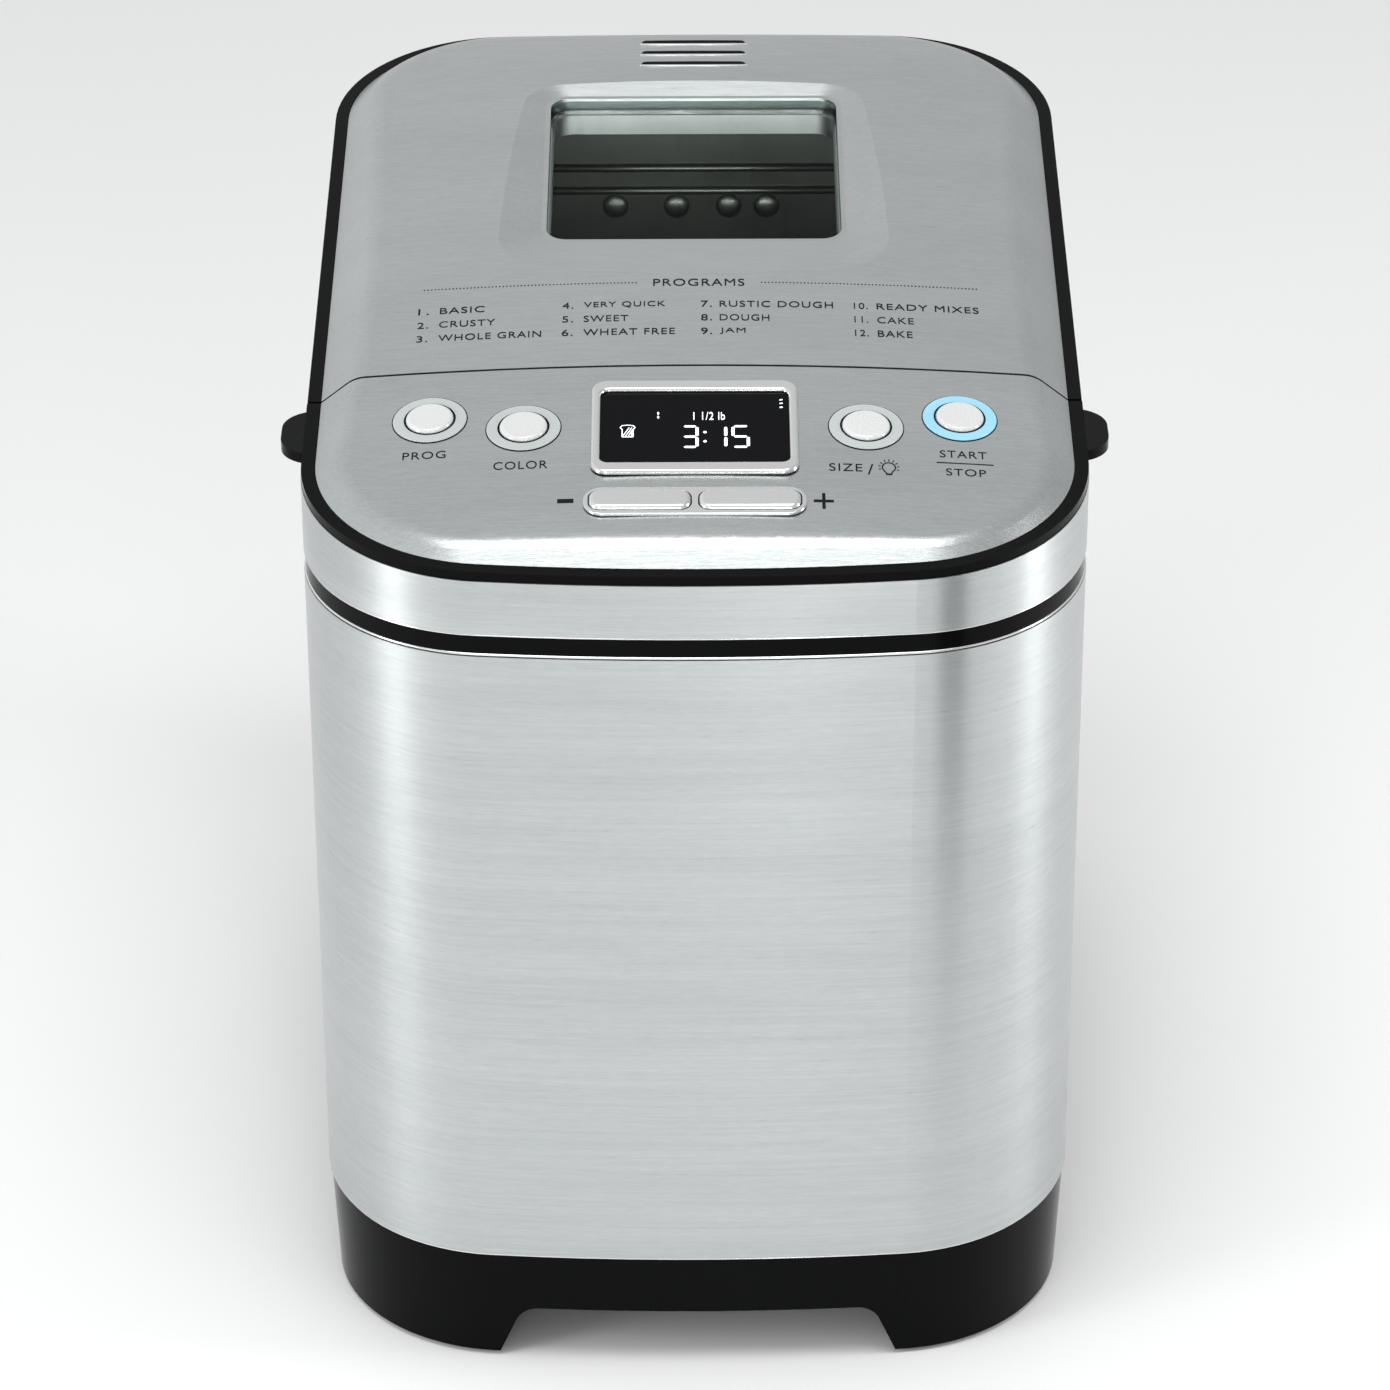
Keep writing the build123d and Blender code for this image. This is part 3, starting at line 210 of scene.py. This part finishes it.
def metal(name, tone, rough, stretch, depth=0.00002, mottle=0.18, coatWeight=0.0):
    f = Finish(name)
    grain = f.noise(stretch, 4.0, 0.6)
    cloud = f.noise((22, 22, 22), 3.0)
    dark = [c * (1 - mottle) for c in tone]
    return f.surface({
        "Base Color": f.blend((grain * 0.5 + cloud * 0.5).clamped(), dark, tone),
        "Metallic": 1.0,
        "Roughness": (grain * 0.16 + cloud * 0.1 + (rough - 0.12)).clamped(),
        "Coat Weight": coatWeight,
        "Normal": f.bump(grain, depth, 0.7),
    })


def turned(name, tone, centre, pitch):
    # lathe rings around an upright axis
    f = Finish(name)
    spot = f.place((pitch, pitch, 0), centre)
    rings = f.add("ShaderNodeTexWave", {"wave_type": "RINGS", "rings_direction": "Z"},
                  {"Vector": spot, "Scale": 1.0, "Distortion": 0.6, "Detail": 2.0}, 1)
    return f.surface({
        "Base Color": f.blend(rings, [c * 0.8 for c in tone], tone),
        "Metallic": 1.0,
        "Roughness": rings * 0.1 + 0.24,
        "Normal": f.bump(rings, 0.00002, 0.6),
    })


def glowRing(name):
    f = Finish(name)
    haze = f.noise((160, 160, 160), 2.0)
    return f.surface({
        "Base Color": f.blend(haze, (0.26, 0.52, 0.66), (0.34, 0.60, 0.72)),
        "Roughness": haze * 0.1 + 0.25,
        "Emission Color": f.blend(haze, (0.10, 0.42, 0.66), (0.16, 0.52, 0.76)),
        "Emission Strength": 0.3,
        "Coat Weight": 0.4,
    })


def circuitBoard(name):
    f = Finish(name)
    cells = f.add("ShaderNodeTexVoronoi", {"distance": "CHEBYCHEV", "feature": "DISTANCE_TO_EDGE"},
                  {"Vector": f.place((1, 1, 1)), "Scale": 420.0})
    track = 1 - cells.above(0.09)
    solder = f.noise((900, 900, 900), 1.0).above(0.66)
    green = f.blend(track, (0.02, 0.13, 0.055), (0.05, 0.26, 0.11))
    return f.surface({
        "Base Color": f.blend(solder * 0.8, green, (0.62, 0.62, 0.6)),
        "Roughness": 0.5 - track * 0.12,
        "Coat Weight": 0.3,
        "Normal": f.bump(track, 0.00003, 0.5),
    })


def heatStained(name):
    f = Finish(name)
    cloud = f.noise((60, 60, 60), 4.0)
    stain = f.add("ShaderNodeValToRGB", {"stops": [
        (0.3, (0.07, 0.07, 0.075)), (0.5, (0.16, 0.14, 0.12)), (0.72, (0.24, 0.22, 0.20))]}, {"Fac": cloud})
    return f.surface({
        "Base Color": stain,
        "Metallic": 0.75,
        "Roughness": cloud * 0.25 + 0.35,
        "Normal": f.bump(f.noise((1400, 1400, 1400), 2.0), 0.00003, 0.5),
    })


def clearPane(name, tint, veil):
    # heat-proof glass: see-through, with the gloss laid over it
    f = Finish(name)
    smear = f.noise((18, 40, 18), 3.0)
    gloss = f.add("ShaderNodeBsdfPrincipled", {}, {
        "Base Color": f.blend(smear, [c * 0.02 for c in tint], [c * 0.04 for c in tint]),
        "Roughness": smear * 0.05 + 0.02,
        "Specular IOR Level": 0.35,
    })
    clear = f.add("ShaderNodeBsdfTransparent", {}, {"Color": (*tint, 1)})
    edge = f.add("ShaderNodeLayerWeight", {}, {"Blend": 0.25}, 0)
    amount = (edge * 0.1 + smear * 0.02 + veil).clamped()
    return f.end(f.add("ShaderNodeMixShader", {}, {0: amount, 1: clear, 2: gloss}))


def ribbed(name):
    f = Finish(name)
    rib = f.add("ShaderNodeTexWave", {"bands_direction": "Y"}, {"Vector": f.place((1, 1, 1)), "Scale": 130.0}, 1)
    dust = f.noise((300, 300, 300), 2.0)
    return f.surface({
        "Base Color": f.blend(dust, (0.015, 0.015, 0.016), (0.035, 0.034, 0.033)),
        "Roughness": dust * 0.2 + 0.6,
        "Normal": f.bump(rib, 0.0003, 0.5),
    })


def ink(name, tone, glow=0.0):
    f = Finish(name)
    speck = f.noise((2500, 2500, 2500), 1.0)
    return f.surface({
        "Base Color": f.blend(speck, tone, [c * 1.2 + 0.001 for c in tone]),
        "Specular IOR Level": 0.1,
        "Roughness": speck * 0.15 + 0.4,
        "Emission Color": (*tone, 1),
        "Emission Strength": glow,
    })


finishes = {
    "brushed_steel": brushed("brushedSteel", (14, 14, 900), (170, 170, 1900), (5, 5, 60), 0.9),
    "black_plastic": plastic("blackMoulding", (0.0015, 0.0017, 0.0018), 0.16, 900, 0.000004, 0.0, 0.06),
    "matte_black": plastic("softBlackMoulding", (0.012, 0.012, 0.013), 0.45, 1300, 0.00004, 0.0, 0.3),
    "foot_rubber": plastic("footRubber", (0.026, 0.026, 0.026), 0.75, 700, 0.00006),
    "white_cap": plastic("whiteCap", (0.62, 0.63, 0.63), 0.16, 120, 0.000004, 0.6),
    "pale_ring": plastic("paleRing", (0.46, 0.485, 0.49), 0.3, 300, 0.000005, 0.2),
    "lit_ring": glowRing("litRing"),
    "bright_trim": metal("brightTrim", (0.86, 0.87, 0.87), 0.14, (60, 60, 60), 0.000002, 0.05),
    "display_glass": plastic("displayGlass", (0.001, 0.001, 0.002), 0.12, 200, 0.000001, 0.0, 0.08),
    "circuit_board": circuitBoard("circuitBoard"),
    "liner_steel": metal("linerSteel", (0.50, 0.51, 0.50), 0.34, (500, 500, 60), 0.00003, 0.25),
    "plated_steel": metal("platedSteel", (0.60, 0.60, 0.58), 0.28, (260, 260, 260), 0.00002, 0.2),
    "machined_steel": turned("turnedSteel", (0.58, 0.58, 0.59), (0, 0.048, 0), 2600),
    "bronze": metal("sinteredBronze", (0.62, 0.42, 0.21), 0.42, (1500, 1500, 1500), 0.00004, 0.4),
    "element_steel": heatStained("elementSheath"),
    "ceramic_white": plastic("ceramic", (0.76, 0.74, 0.68), 0.6, 800, 0.00006),
    "lamp_glass": clearPane("lampGlass", (0.96, 0.95, 0.90), 0.06),
    "window_pane": clearPane("windowPane", (0.84, 0.88, 0.87), 0.0),
    "nonstick": plastic("nonStick", (0.035, 0.035, 0.037), 0.42, 1600, 0.00003, 0.1),
    "belt_rubber": ribbed("beltRubber"),
    "seal_silicone": plastic("sealSilicone", (0.24, 0.09, 0.06), 0.45, 500, 0.00003),
}
# single parts that get a finish of their own
ownFinish = {
    "lid_plate": brushed("lidSteel", (60, 1100, 1100), (300, 2400, 2400), (7, 34, 10), 0.98, 0.3, 0.2),
    "control_plate": brushed("panelSteel", (60, 1100, 1100), (300, 2400, 2400), (7, 34, 10), 0.98, 0.27, 0.2),
    "oven_liner": metal("ovenSteel", (0.16, 0.165, 0.15), 0.36, (500, 500, 60), 0.00003, 0.3),
    "window_frame": metal("windowTrim", (0.80, 0.81, 0.80), 0.2, (80, 80, 80), 0.000004, 0.08),
    "button_minus": metal("barSteel", (0.88, 0.89, 0.89), 0.2, (40, 900, 900), 0.000003, 0.05),
    "button_plus": metal("barSteelRight", (0.88, 0.89, 0.89), 0.2, (40, 900, 900), 0.000003, 0.05),
}
darkInk = ink("darkInk", (0.006, 0.007, 0.009))
litSegment = ink("litSegment", (0.86, 0.93, 0.95), 0.9)
print("finishes:", len(finishes))


for part in frame["record"]["subparts"]:
    mesh = frame["nodes"][part["node"]].data
    mesh.materials.clear()
    mesh.materials.append(ownFinish.get(part["node"]) or finishes[part["material_slot"]])
print("frame dressed")


# the crowned top: x across, run up the slope from the front edge, lift off the steel
crown = {"tilt": atan(0.09), "across": 1.3, "crest": 0.0143, "crestRun": 0.15,
         "frontBend": 1.19, "backBend": 3.16, "rim": 0.2879, "front": -0.17,
         "lens": 0.0645}


def onCrown(x, run, lift=0.0):
    bend = crown["frontBend"] if run < crown["crestRun"] else crown["backBend"]
    crest = crown["crest"] - bend + sqrt(bend ** 2 - (run - crown["crestRun"]) ** 2)
    height = sqrt((crown["across"] + crest) ** 2 - x ** 2) - crown["across"] + lift
    rise, fall = sin(crown["tilt"]), cos(crown["tilt"])
    return Vector((x, crown["front"] + run * fall - height * rise, crown["rim"] + run * rise + height * fall))


def bendOntoCrown(bm):
    for vert in bm.verts:
        vert.co = onCrown(*vert.co)


def onLens(x, run, lift):
    # the display's glass is flat and touches the crown at its own middle
    middle = crown["lens"]
    foot = onCrown(0, middle)
    along = (onCrown(0, middle + 0.001) - onCrown(0, middle - 0.001)).normalized()
    out = Vector((1, 0, 0)).cross(along)
    return foot + Vector((x, 0, 0)) + along * (run - middle) + out * lift


def makePiece(name, bm, finish, body, smooth=False):
    bmesh.ops.recalc_face_normals(bm, faces=bm.faces)
    mesh = bpy.data.meshes.new(name)
    bm.to_mesh(mesh)
    bm.free()
    for face in mesh.polygons:
        face.use_smooth = smooth
    mesh.materials.append(finish)
    piece = bpy.data.objects.new(name, mesh)
    scene.collection.objects.link(piece)
    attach(piece, body)
    return piece


# printing: flat shapes laid out in millimetres as (x, run), then bent onto the top
def printWords(bm, text, left, right, baseline, capHeight, thick=0.06):
    curve = bpy.data.curves.new("words", "FONT")
    curve.body = text
    curve.space_character = 1.12
    curve.resolution_u = 5
    holder = bpy.data.objects.new("words", curve)
    scene.collection.objects.link(holder)
    flat = bpy.data.meshes.new_from_object(holder.evaluated_get(bpy.context.evaluated_depsgraph_get()))
    bpy.data.objects.remove(holder)
    bpy.data.curves.remove(curve)
    xs = [v.co.x for v in flat.vertices]
    ys = [v.co.y for v in flat.vertices]
    wide = (right - left) / (max(xs) - min(xs))
    tall = capHeight / (max(ys) - min(ys))
    fit = Matrix.Translation((left * mm, baseline * mm, 0)) @ Matrix.Diagonal((wide * mm, tall * mm, 1, 1))
    flat.transform(fit @ Matrix.Translation((-min(xs), -min(ys), 0)))
    sheet = bmesh.new()
    sheet.from_mesh(flat)
    bmesh.ops.remove_doubles(sheet, verts=sheet.verts, dist=1e-7)
    grown = bmesh.ops.extrude_face_region(sheet, geom=sheet.faces[:])
    top = [v for v in grown["geom"] if isinstance(v, bmesh.types.BMVert)]
    bmesh.ops.translate(sheet, verts=top, vec=(0, 0, thick * mm))
    sheet.to_mesh(flat)
    sheet.free()
    bm.from_mesh(flat)
    bpy.data.meshes.remove(flat)


def stroke(bm, x1, y1, x2, y2, width, thick=0.06, pointed=False):
    # a straight bar of ink between two points
    start, end = Vector((x1, y1, 0)), Vector((x2, y2, 0))
    along = end - start
    fit = Matrix.Translation((start + end) * 0.5 * mm) @ Matrix.Rotation(
        Vector((1, 0, 0)).rotation_difference(along).to_euler().z, 4, "Z")
    fit = fit @ Matrix.Diagonal((along.length * mm, width * mm, thick * mm, 1))
    fit = fit @ Matrix.Translation((0, 0, 0.5))
    made = bmesh.ops.create_cube(bm, size=1, matrix=fit)["verts"]
    if pointed:
        sides = {e for v in made for e in v.link_edges if abs(e.verts[0].co.z - e.verts[1].co.z) > 1e-6}
        bmesh.ops.bevel(bm, geom=list(sides), offset=width * 0.42 * mm, segments=1, affect="EDGES",
                        profile=0.5, material=-1)


def dot(bm, x, y, radius, sides=8, thick=0.06):
    made = bmesh.ops.create_cone(bm, cap_ends=True, segments=sides, radius1=radius * mm, radius2=radius * mm,
                                 depth=thick * mm, matrix=Matrix.Translation((x * mm, y * mm, thick * 0.5 * mm)))
    return made["verts"]


panelPrint = {
    "words": [("PROG", -88.4, -75.3, 52.9, 3.6), ("COLOR", -60.7, -44.4, 45.8, 3.8), ("SIZE", 40.4, 50.4, 43.9, 3.7),
              ("START", 74.0, 88.2, 52.3, 3.5), ("STOP", 75.6, 87.7, 43.6, 3.4)],
    "bars": [(-41.2, 29.8, -36.3, 29.8, 1.9), (35.5, 29.4, 41.5, 29.4, 1.2), (38.5, 25.7, 38.5, 33.1, 1.0),
             (72.9, 49.7, 90.1, 49.6, 0.5), (52.2, 42.6, 53.5, 47.7, 0.5)],
    "lamp": {"x": 58.4, "run": 46.3, "radius": 2.0, "line": 0.42},
}


def printLamp(bm, x, run, radius, line):
    # a bulb outline open at its neck, a cap, and a fan of rays
    turns = [radians(a) for a in range(-52, 233, 24)]
    rim = [(x + radius * cos(a), run + 1.15 * radius * sin(a)) for a in turns]
    rim = [(x + 0.72, run - 2.9)] + rim + [(x - 0.72, run - 2.9)]
    for (x1, y1), (x2, y2) in zip(rim, rim[1:]):
        stroke(bm, x1, y1, x2, y2, line)
    stroke(bm, x - 0.95, run - 3.3, x + 0.95, run - 3.3, line * 1.7)
    for turn in range(-20, 201, 27):
        c, s = cos(radians(turn)), sin(radians(turn))
        stroke(bm, x + 2.5 * c, run + 2.9 * s, x + 3.2 * c, run + 3.9 * s, line * 0.8)


def panelLettering():
    bm = bmesh.new()
    for text, left, right, baseline, height in panelPrint["words"]:
        printWords(bm, text, left, right, baseline, height)
    for x1, y1, x2, y2, width in panelPrint["bars"]:
        stroke(bm, x1, y1, x2, y2, width)
    printLamp(bm, **panelPrint["lamp"])
    bendOntoCrown(bm)
    makePiece("panel_lettering", bm, darkInk, "casing")


lidPrint = {
    "heading": ("PROGRAMS", -12.9, 15.8, 142.6, 4.2),
    "rows": [130.2, 122.3, 114.6],
    "columns": [
        (-86.4, -79.6, [("BASIC", 14), ("CRUSTY", 17.5), ("WHOLE GRAIN", 32)]),
        (-41.2, -34.5, [("VERY QUICK", 25.4), ("SWEET", 13.9), ("WHEAT FREE", 28.5)]),
        (2.1, 7.9, [("RUSTIC DOUGH", 35.5), ("DOUGH", 15.5), ("JAM", 8)]),
        (49.9, 57.0, [("READY MIXES", 32), ("CAKE", 11.4), ("BAKE", 10.8)]),
    ],
    "height": 3.5,
    "dots": [(-84.9, -18.3), (21.2, 88.8)],
    "dotRun": 144.8,
    "dotPitch": 1.13,
}


def lidLettering():
    bm = bmesh.new()
    text, left, right, baseline, height = lidPrint["heading"]
    printWords(bm, text, left, right, baseline, height)
    number = 0
    for numberAt, wordAt, entries in lidPrint["columns"]:
        for run, (text, width) in zip(lidPrint["rows"], entries):
            number += 1
            gap = 4.7 if number < 10 else 6.0
            printWords(bm, f"{number}.", numberAt, numberAt + gap * 0.72, run, lidPrint["height"])
            printWords(bm, text, wordAt, wordAt + width, run, lidPrint["height"])
    for start, end in lidPrint["dots"]:
        count = round((end - start) / lidPrint["dotPitch"])
        for i in range(count + 1):
            dot(bm, start + (end - start) * i / count, lidPrint["dotRun"], 0.27, 6)
    bendOntoCrown(bm)
    makePiece("lid_lettering", bm, darkInk, "lid")


displayPrint = {
    "low": 54.3, "high": 65.6, "bar": 0.95, "gap": 0.3,
    "digits": [("3", -3.6, 0.7), ("1", 8.0, 9.4), ("5", 11.6, 16.2)],
    "colon": {"x": 3.1, "runs": (57.6, 62.2), "radius": 0.55},
    "programme": ("1", -12.0, -11.1, 68.9, 72.8, 0.55),
    "weight": ("1 1/2 lb", -0.4, 9.2, 68.4, 4.0),
    "loaf": [(-22.0, 59.9), (-18.7, 59.9), (-18.7, 63.6), (-18.1, 64.6), (-18.6, 65.6), (-20.3, 65.9),
             (-22.1, 65.6), (-22.6, 64.6), (-22.0, 63.6), (-22.0, 59.9)],
    "marks": (74.6, 76.6, 78.4),
}
segmentsOf = {"0": "abcdef", "1": "bc", "3": "abcdg", "5": "acdfg"}


def segmentDigit(bm, figure, left, right, low, high, bar):
    mid = (low + high) / 2
    gap = displayPrint["gap"]
    lines = {
        "a": (left + gap, high, right - gap, high), "d": (left + gap, low, right - gap, low),
        "g": (left + gap, mid, right - gap, mid), "b": (right, mid + gap, right, high - gap),
        "c": (right, low + gap, right, mid - gap), "f": (left, mid + gap, left, high - gap),
        "e": (left, low + gap, left, mid - gap),
    }
    for key in segmentsOf[figure]:
        stroke(bm, *lines[key], bar, pointed=True)


def displayFigures():
    bm = bmesh.new()
    low, high, bar = displayPrint["low"], displayPrint["high"], displayPrint["bar"]
    low, high = low + bar / 2, high - bar / 2
    for figure, left, right in displayPrint["digits"]:
        segmentDigit(bm, figure, left, right, low, high, bar)
    colon = displayPrint["colon"]
    for run in colon["runs"]:
        dot(bm, colon["x"], run, colon["radius"])
    segmentDigit(bm, *displayPrint["programme"])
    printWords(bm, *displayPrint["weight"])
    # the loaf sign: an outline with a swelling top, hatched
    loaf = displayPrint["loaf"]
    for (x1, y1), (x2, y2) in zip(loaf, loaf[1:]):
        stroke(bm, x1, y1, x2, y2, 0.3)
    for shift in range(4):
        x = -21.8 + shift * 0.85
        stroke(bm, x, 60.3, min(x + 1.9, -18.9), 64.6 - max(0, shift - 1) * 1.2, 0.28)
    for i, run in enumerate(displayPrint["marks"]):
        stroke(bm, 25.9, run, 26.8, run + 0.25, 0.55 - 0.05 * i)
    for vert in bm.verts:
        vert.co = onLens(vert.co.x, vert.co.y, vert.co.z + 0.05 * mm)
    makePiece("display_figures", bm, litSegment, "casing")


panelLettering()
lidLettering()
displayFigures()
print("lettering done")


# small rolled edges and pressings, in millimetres
beads = {
    "wrap_top_bead": {"node": "lower_trim", "height": 260.1, "sink": 0.1, "radius": 0.45},
    "band_low_bead": {"node": "lower_trim", "height": 266.7, "sink": 0.1, "radius": 0.35},
    "wrap_low_bead": {"node": "base_tray", "height": 40.8, "sink": 0.1, "radius": 0.4},
}


def sliceOf(node, height):
    # the outermost loop where a level plane cuts a part
    bm = bmesh.new()
    bm.from_mesh(frame["nodes"][node].data)
    bmesh.ops.bisect_plane(bm, geom=bm.verts[:] + bm.edges[:] + bm.faces[:], plane_co=(0, 0, height),
                           plane_no=(0, 0, 1), clear_inner=True, clear_outer=True)
    bmesh.ops.remove_doubles(bm, verts=bm.verts, dist=1e-6)
    start = min(bm.verts, key=lambda v: v.co.y)
    loop, at, last = [], start, None
    while at is not None and (at is not start or not loop):
        loop.append(at.co.copy())
        ways = [e.other_vert(at) for e in at.link_edges]
        ahead = [v for v in ways if v is not last]
        last, at = at, (ahead[0] if ahead else None)
    bm.free()
    return loop


def bead(name, node, height, sink, radius):
    # a fine rolled line laid round a part
    loop = sliceOf(node, height * mm)
    curve = bpy.data.curves.new(name, "CURVE")
    curve.dimensions = "3D"
    curve.bevel_depth = radius * mm
    curve.bevel_resolution = 2
    line = curve.splines.new("POLY")
    line.points.add(len(loop) - 1)
    line.use_cyclic_u = True
    for point, spot in zip(line.points, loop):
        inward = Vector((spot.x, spot.y, 0)) * (1 - sink * mm / max(0.05, Vector((spot.x, spot.y)).length))
        point.co = (inward.x, inward.y, spot.z, 1)
    holder = bpy.data.objects.new(name, curve)
    scene.collection.objects.link(holder)
    tube = bpy.data.meshes.new_from_object(holder.evaluated_get(bpy.context.evaluated_depsgraph_get()))
    bpy.data.objects.remove(holder)
    bm = bmesh.new()
    bm.from_mesh(tube)
    makePiece(name, bm, finishes["bright_trim"], "casing", smooth=True)


ventLip = {"runs": (290.2, 298.2, 306.2), "half": 18.0, "width": 1.0, "thick": 0.35}


def ventLips():
    # a folded lip in front of each vent slot of the lid
    bm = bmesh.new()
    for run in ventLip["runs"]:
        stroke(bm, -ventLip["half"], run, ventLip["half"], run, ventLip["width"], ventLip["thick"])
    bmesh.ops.bevel(bm, geom=bm.edges[:], offset=0.12 * mm, segments=2, affect="EDGES", profile=0.5, material=-1)
    bendOntoCrown(bm)
    makePiece("vent_lips", bm, finishes["bright_trim"], "lid", smooth=True)


# painted shade: the dark lines in the gaps round the buttons are drawn as black rings
buttonSeam = {
    # x, run, radius of the ring
    "spots": ((-80.7, 72.2, 11.45), (-52.0, 66.0, 11.45), (52.0, 66.0, 11.45), (80.7, 72.2, 11.45)),
    "cap": 7.7, "capWide": 0.55, "ringWide": 0.32, "lift": 0.36, "sides": 72,
}


def layButtonGapShade():
    # black rings laid round each cap and round each ring: painted shade for the dark gap lines between the parts
    bm = bmesh.new()
    for x, run, ring in buttonSeam["spots"]:
        for radius, wide, lift in ((buttonSeam["cap"], buttonSeam["capWide"], buttonSeam["lift"]),
                                   (ring, buttonSeam["ringWide"], 0.06)):
            fit = Matrix.Translation(((x + radius) * mm, run * mm, lift * mm))
            made = bmesh.ops.create_circle(bm, cap_ends=False, segments=8, radius=wide * 0.5 * mm,
                                           matrix=fit @ Matrix.Rotation(pi / 2, 4, "X"))["verts"]
            rim = list({e for v in made for e in v.link_edges})
            bmesh.ops.spin(bm, geom=rim, cent=(x * mm, run * mm, 0), axis=(0, 0, 1), angle=2 * pi,
                           steps=buttonSeam["sides"], use_merge=True)
    bendOntoCrown(bm)
    makePiece("button_gap_shade", bm, finishes["black_plastic"], "casing", smooth=True)


ovenRib = {"heights": (276.5, 268.0), "half": 86.0, "wall": 141.6, "radius": 1.5}
ovenStud = {"height": 262.0, "across": (-27, -6, 12, 25), "wall": 141.9, "radius": 4.5, "deep": 2.2}


def ovenPressings():
    # stiffening ribs and dimples pressed into the oven's back wall
    bm = bmesh.new()
    for height in ovenRib["heights"]:
        fit = Matrix.Translation((0, ovenRib["wall"] * mm, height * mm)) @ Matrix.Rotation(pi / 2, 4, "Y")
        bmesh.ops.create_cone(bm, cap_ends=True, segments=20, radius1=ovenRib["radius"] * mm,
                              radius2=ovenRib["radius"] * mm, depth=2 * ovenRib["half"] * mm, matrix=fit)
    for across in ovenStud["across"]:
        fit = Matrix.Translation((across * mm, ovenStud["wall"] * mm, ovenStud["height"] * mm))
        fit = fit @ Matrix.Diagonal((1, ovenStud["deep"] / ovenStud["radius"], 1, 1))
        bmesh.ops.create_uvsphere(bm, u_segments=28, v_segments=16, radius=ovenStud["radius"] * mm, matrix=fit)
    makePiece("oven_pressings", bm, ownFinish["oven_liner"], "casing", smooth=True)


for name, rolled in beads.items():
    bead(name, **rolled)
ventLips()
ovenPressings()
layButtonGapShade()
print("edges and pressings done")


# studio: pale floor, soft boxes, an even pale surround
studio = {
    "floor": (0.92, 0.92, 0.92),
    "surround": 0.66,
    "boxes": [
        # name, place, aim, width, height, watts
        ("overhead", (0.0, -0.5, 1.9), (0, -0.05, 0), 1.1, 0.7, 11),
        ("leftStrip", (-0.9, -0.62, 0.4), (0, -0.05, 0.15), 0.3, 0.8, 4.0),
        ("rightStrip", (1.0, -0.2, 0.4), (0, -0.05, 0.15), 0.22, 0.8, 4.0),
        ("ovenGlow", (0.0, 0.02, 0.285), (0, 0.142, 0.262), 0.16, 0.01, 0.12),
        ("frontStrip", (0.16, -1.5, 0.35), (0, -0.1, 0.1), 0.12, 0.6, 1.6),
        ("frontFill", (-0.4, -2.2, 0.9), (0, -0.1, 0.1), 0.5, 0.7, 2.5),
    ],
    # a low dark card out of sight, so the right corner has a shadow line
    "card": {"place": (0.33, -0.53, 0.10), "turn": 32, "wide": 0.13, "tall": 0.2, "tone": 0.03},
}


def standCard():
    card = studio["card"]
    bm = bmesh.new()
    fit = Matrix.Translation(card["place"]) @ Matrix.Rotation(radians(card["turn"]), 4, "Z")
    fit = fit @ Matrix.Diagonal((card["wide"], 0.003, card["tall"], 1))
    bmesh.ops.create_cube(bm, size=1, matrix=fit)
    bmesh.ops.bevel(bm, geom=bm.edges[:], offset=0.001, segments=2, affect="EDGES", profile=0.5, material=-1)
    mesh = bpy.data.meshes.new("card")
    bm.to_mesh(mesh)
    bm.free()
    mesh.materials.append(plastic("cardFelt", [card["tone"]] * 3, 0.8, 400, 0.00005, 0.0, 0.1))
    board = bpy.data.objects.new("card", mesh)
    scene.collection.objects.link(board)
    board.visible_camera = False


def layFloor():
    bm = bmesh.new()
    bmesh.ops.create_grid(bm, x_segments=2, y_segments=2, size=6)
    low = cadBox[0][2]
    bmesh.ops.translate(bm, verts=bm.verts, vec=(0, 0, low - 0.0002))
    mesh = bpy.data.meshes.new("floor")
    bm.to_mesh(mesh)
    bm.free()
    f = Finish("paleFloor")
    cloud = f.noise((2, 2, 2), 2.0)
    pale = studio["floor"]
    mesh.materials.append(f.surface({
        "Base Color": f.blend(cloud, [c * 0.985 for c in pale], pale), "Roughness": cloud * 0.1 + 0.7}))
    floor = bpy.data.objects.new("floor", mesh)
    scene.collection.objects.link(floor)


def hangBoxes():
    for name, place, aim, width, height, watts in studio["boxes"]:
        data = bpy.data.lights.new(name, "AREA")
        data.shape = "RECTANGLE"
        data.size, data.size_y, data.energy = width, height, watts
        lamp = bpy.data.objects.new(name, data)
        scene.collection.objects.link(lamp)
        look = Vector(aim) - Vector(place)
        lamp.matrix_world = Matrix.Translation(place) @ look.to_track_quat("-Z", "Y").to_matrix().to_4x4()
        lamp.visible_camera = False
    world = bpy.data.worlds.new("studio")
    world.use_nodes = True
    back = world.node_tree.nodes["Background"]
    level = studio["surround"]
    nodes, links = world.node_tree.nodes, world.node_tree.links
    spot = nodes.new("ShaderNodeTexCoord")
    split = nodes.new("ShaderNodeSeparateXYZ")
    ramp = nodes.new("ShaderNodeMapRange")
    ramp.inputs["From Min"].default_value = -1
    ramp.inputs["To Min"].default_value = level * 1.3
    ramp.inputs["To Max"].default_value = level * 0.7
    links.new(spot.outputs["Generated"], split.inputs[0])
    links.new(split.outputs["X"], ramp.inputs["Value"])
    links.new(ramp.outputs[0], back.inputs["Strength"])
    back.inputs["Color"].default_value = (1, 1.01, 1.01, 1)
    scene.world = world
    scene.view_settings.view_transform = "Standard"


layFloor()
standCard()
hangBoxes()
print("studio done")
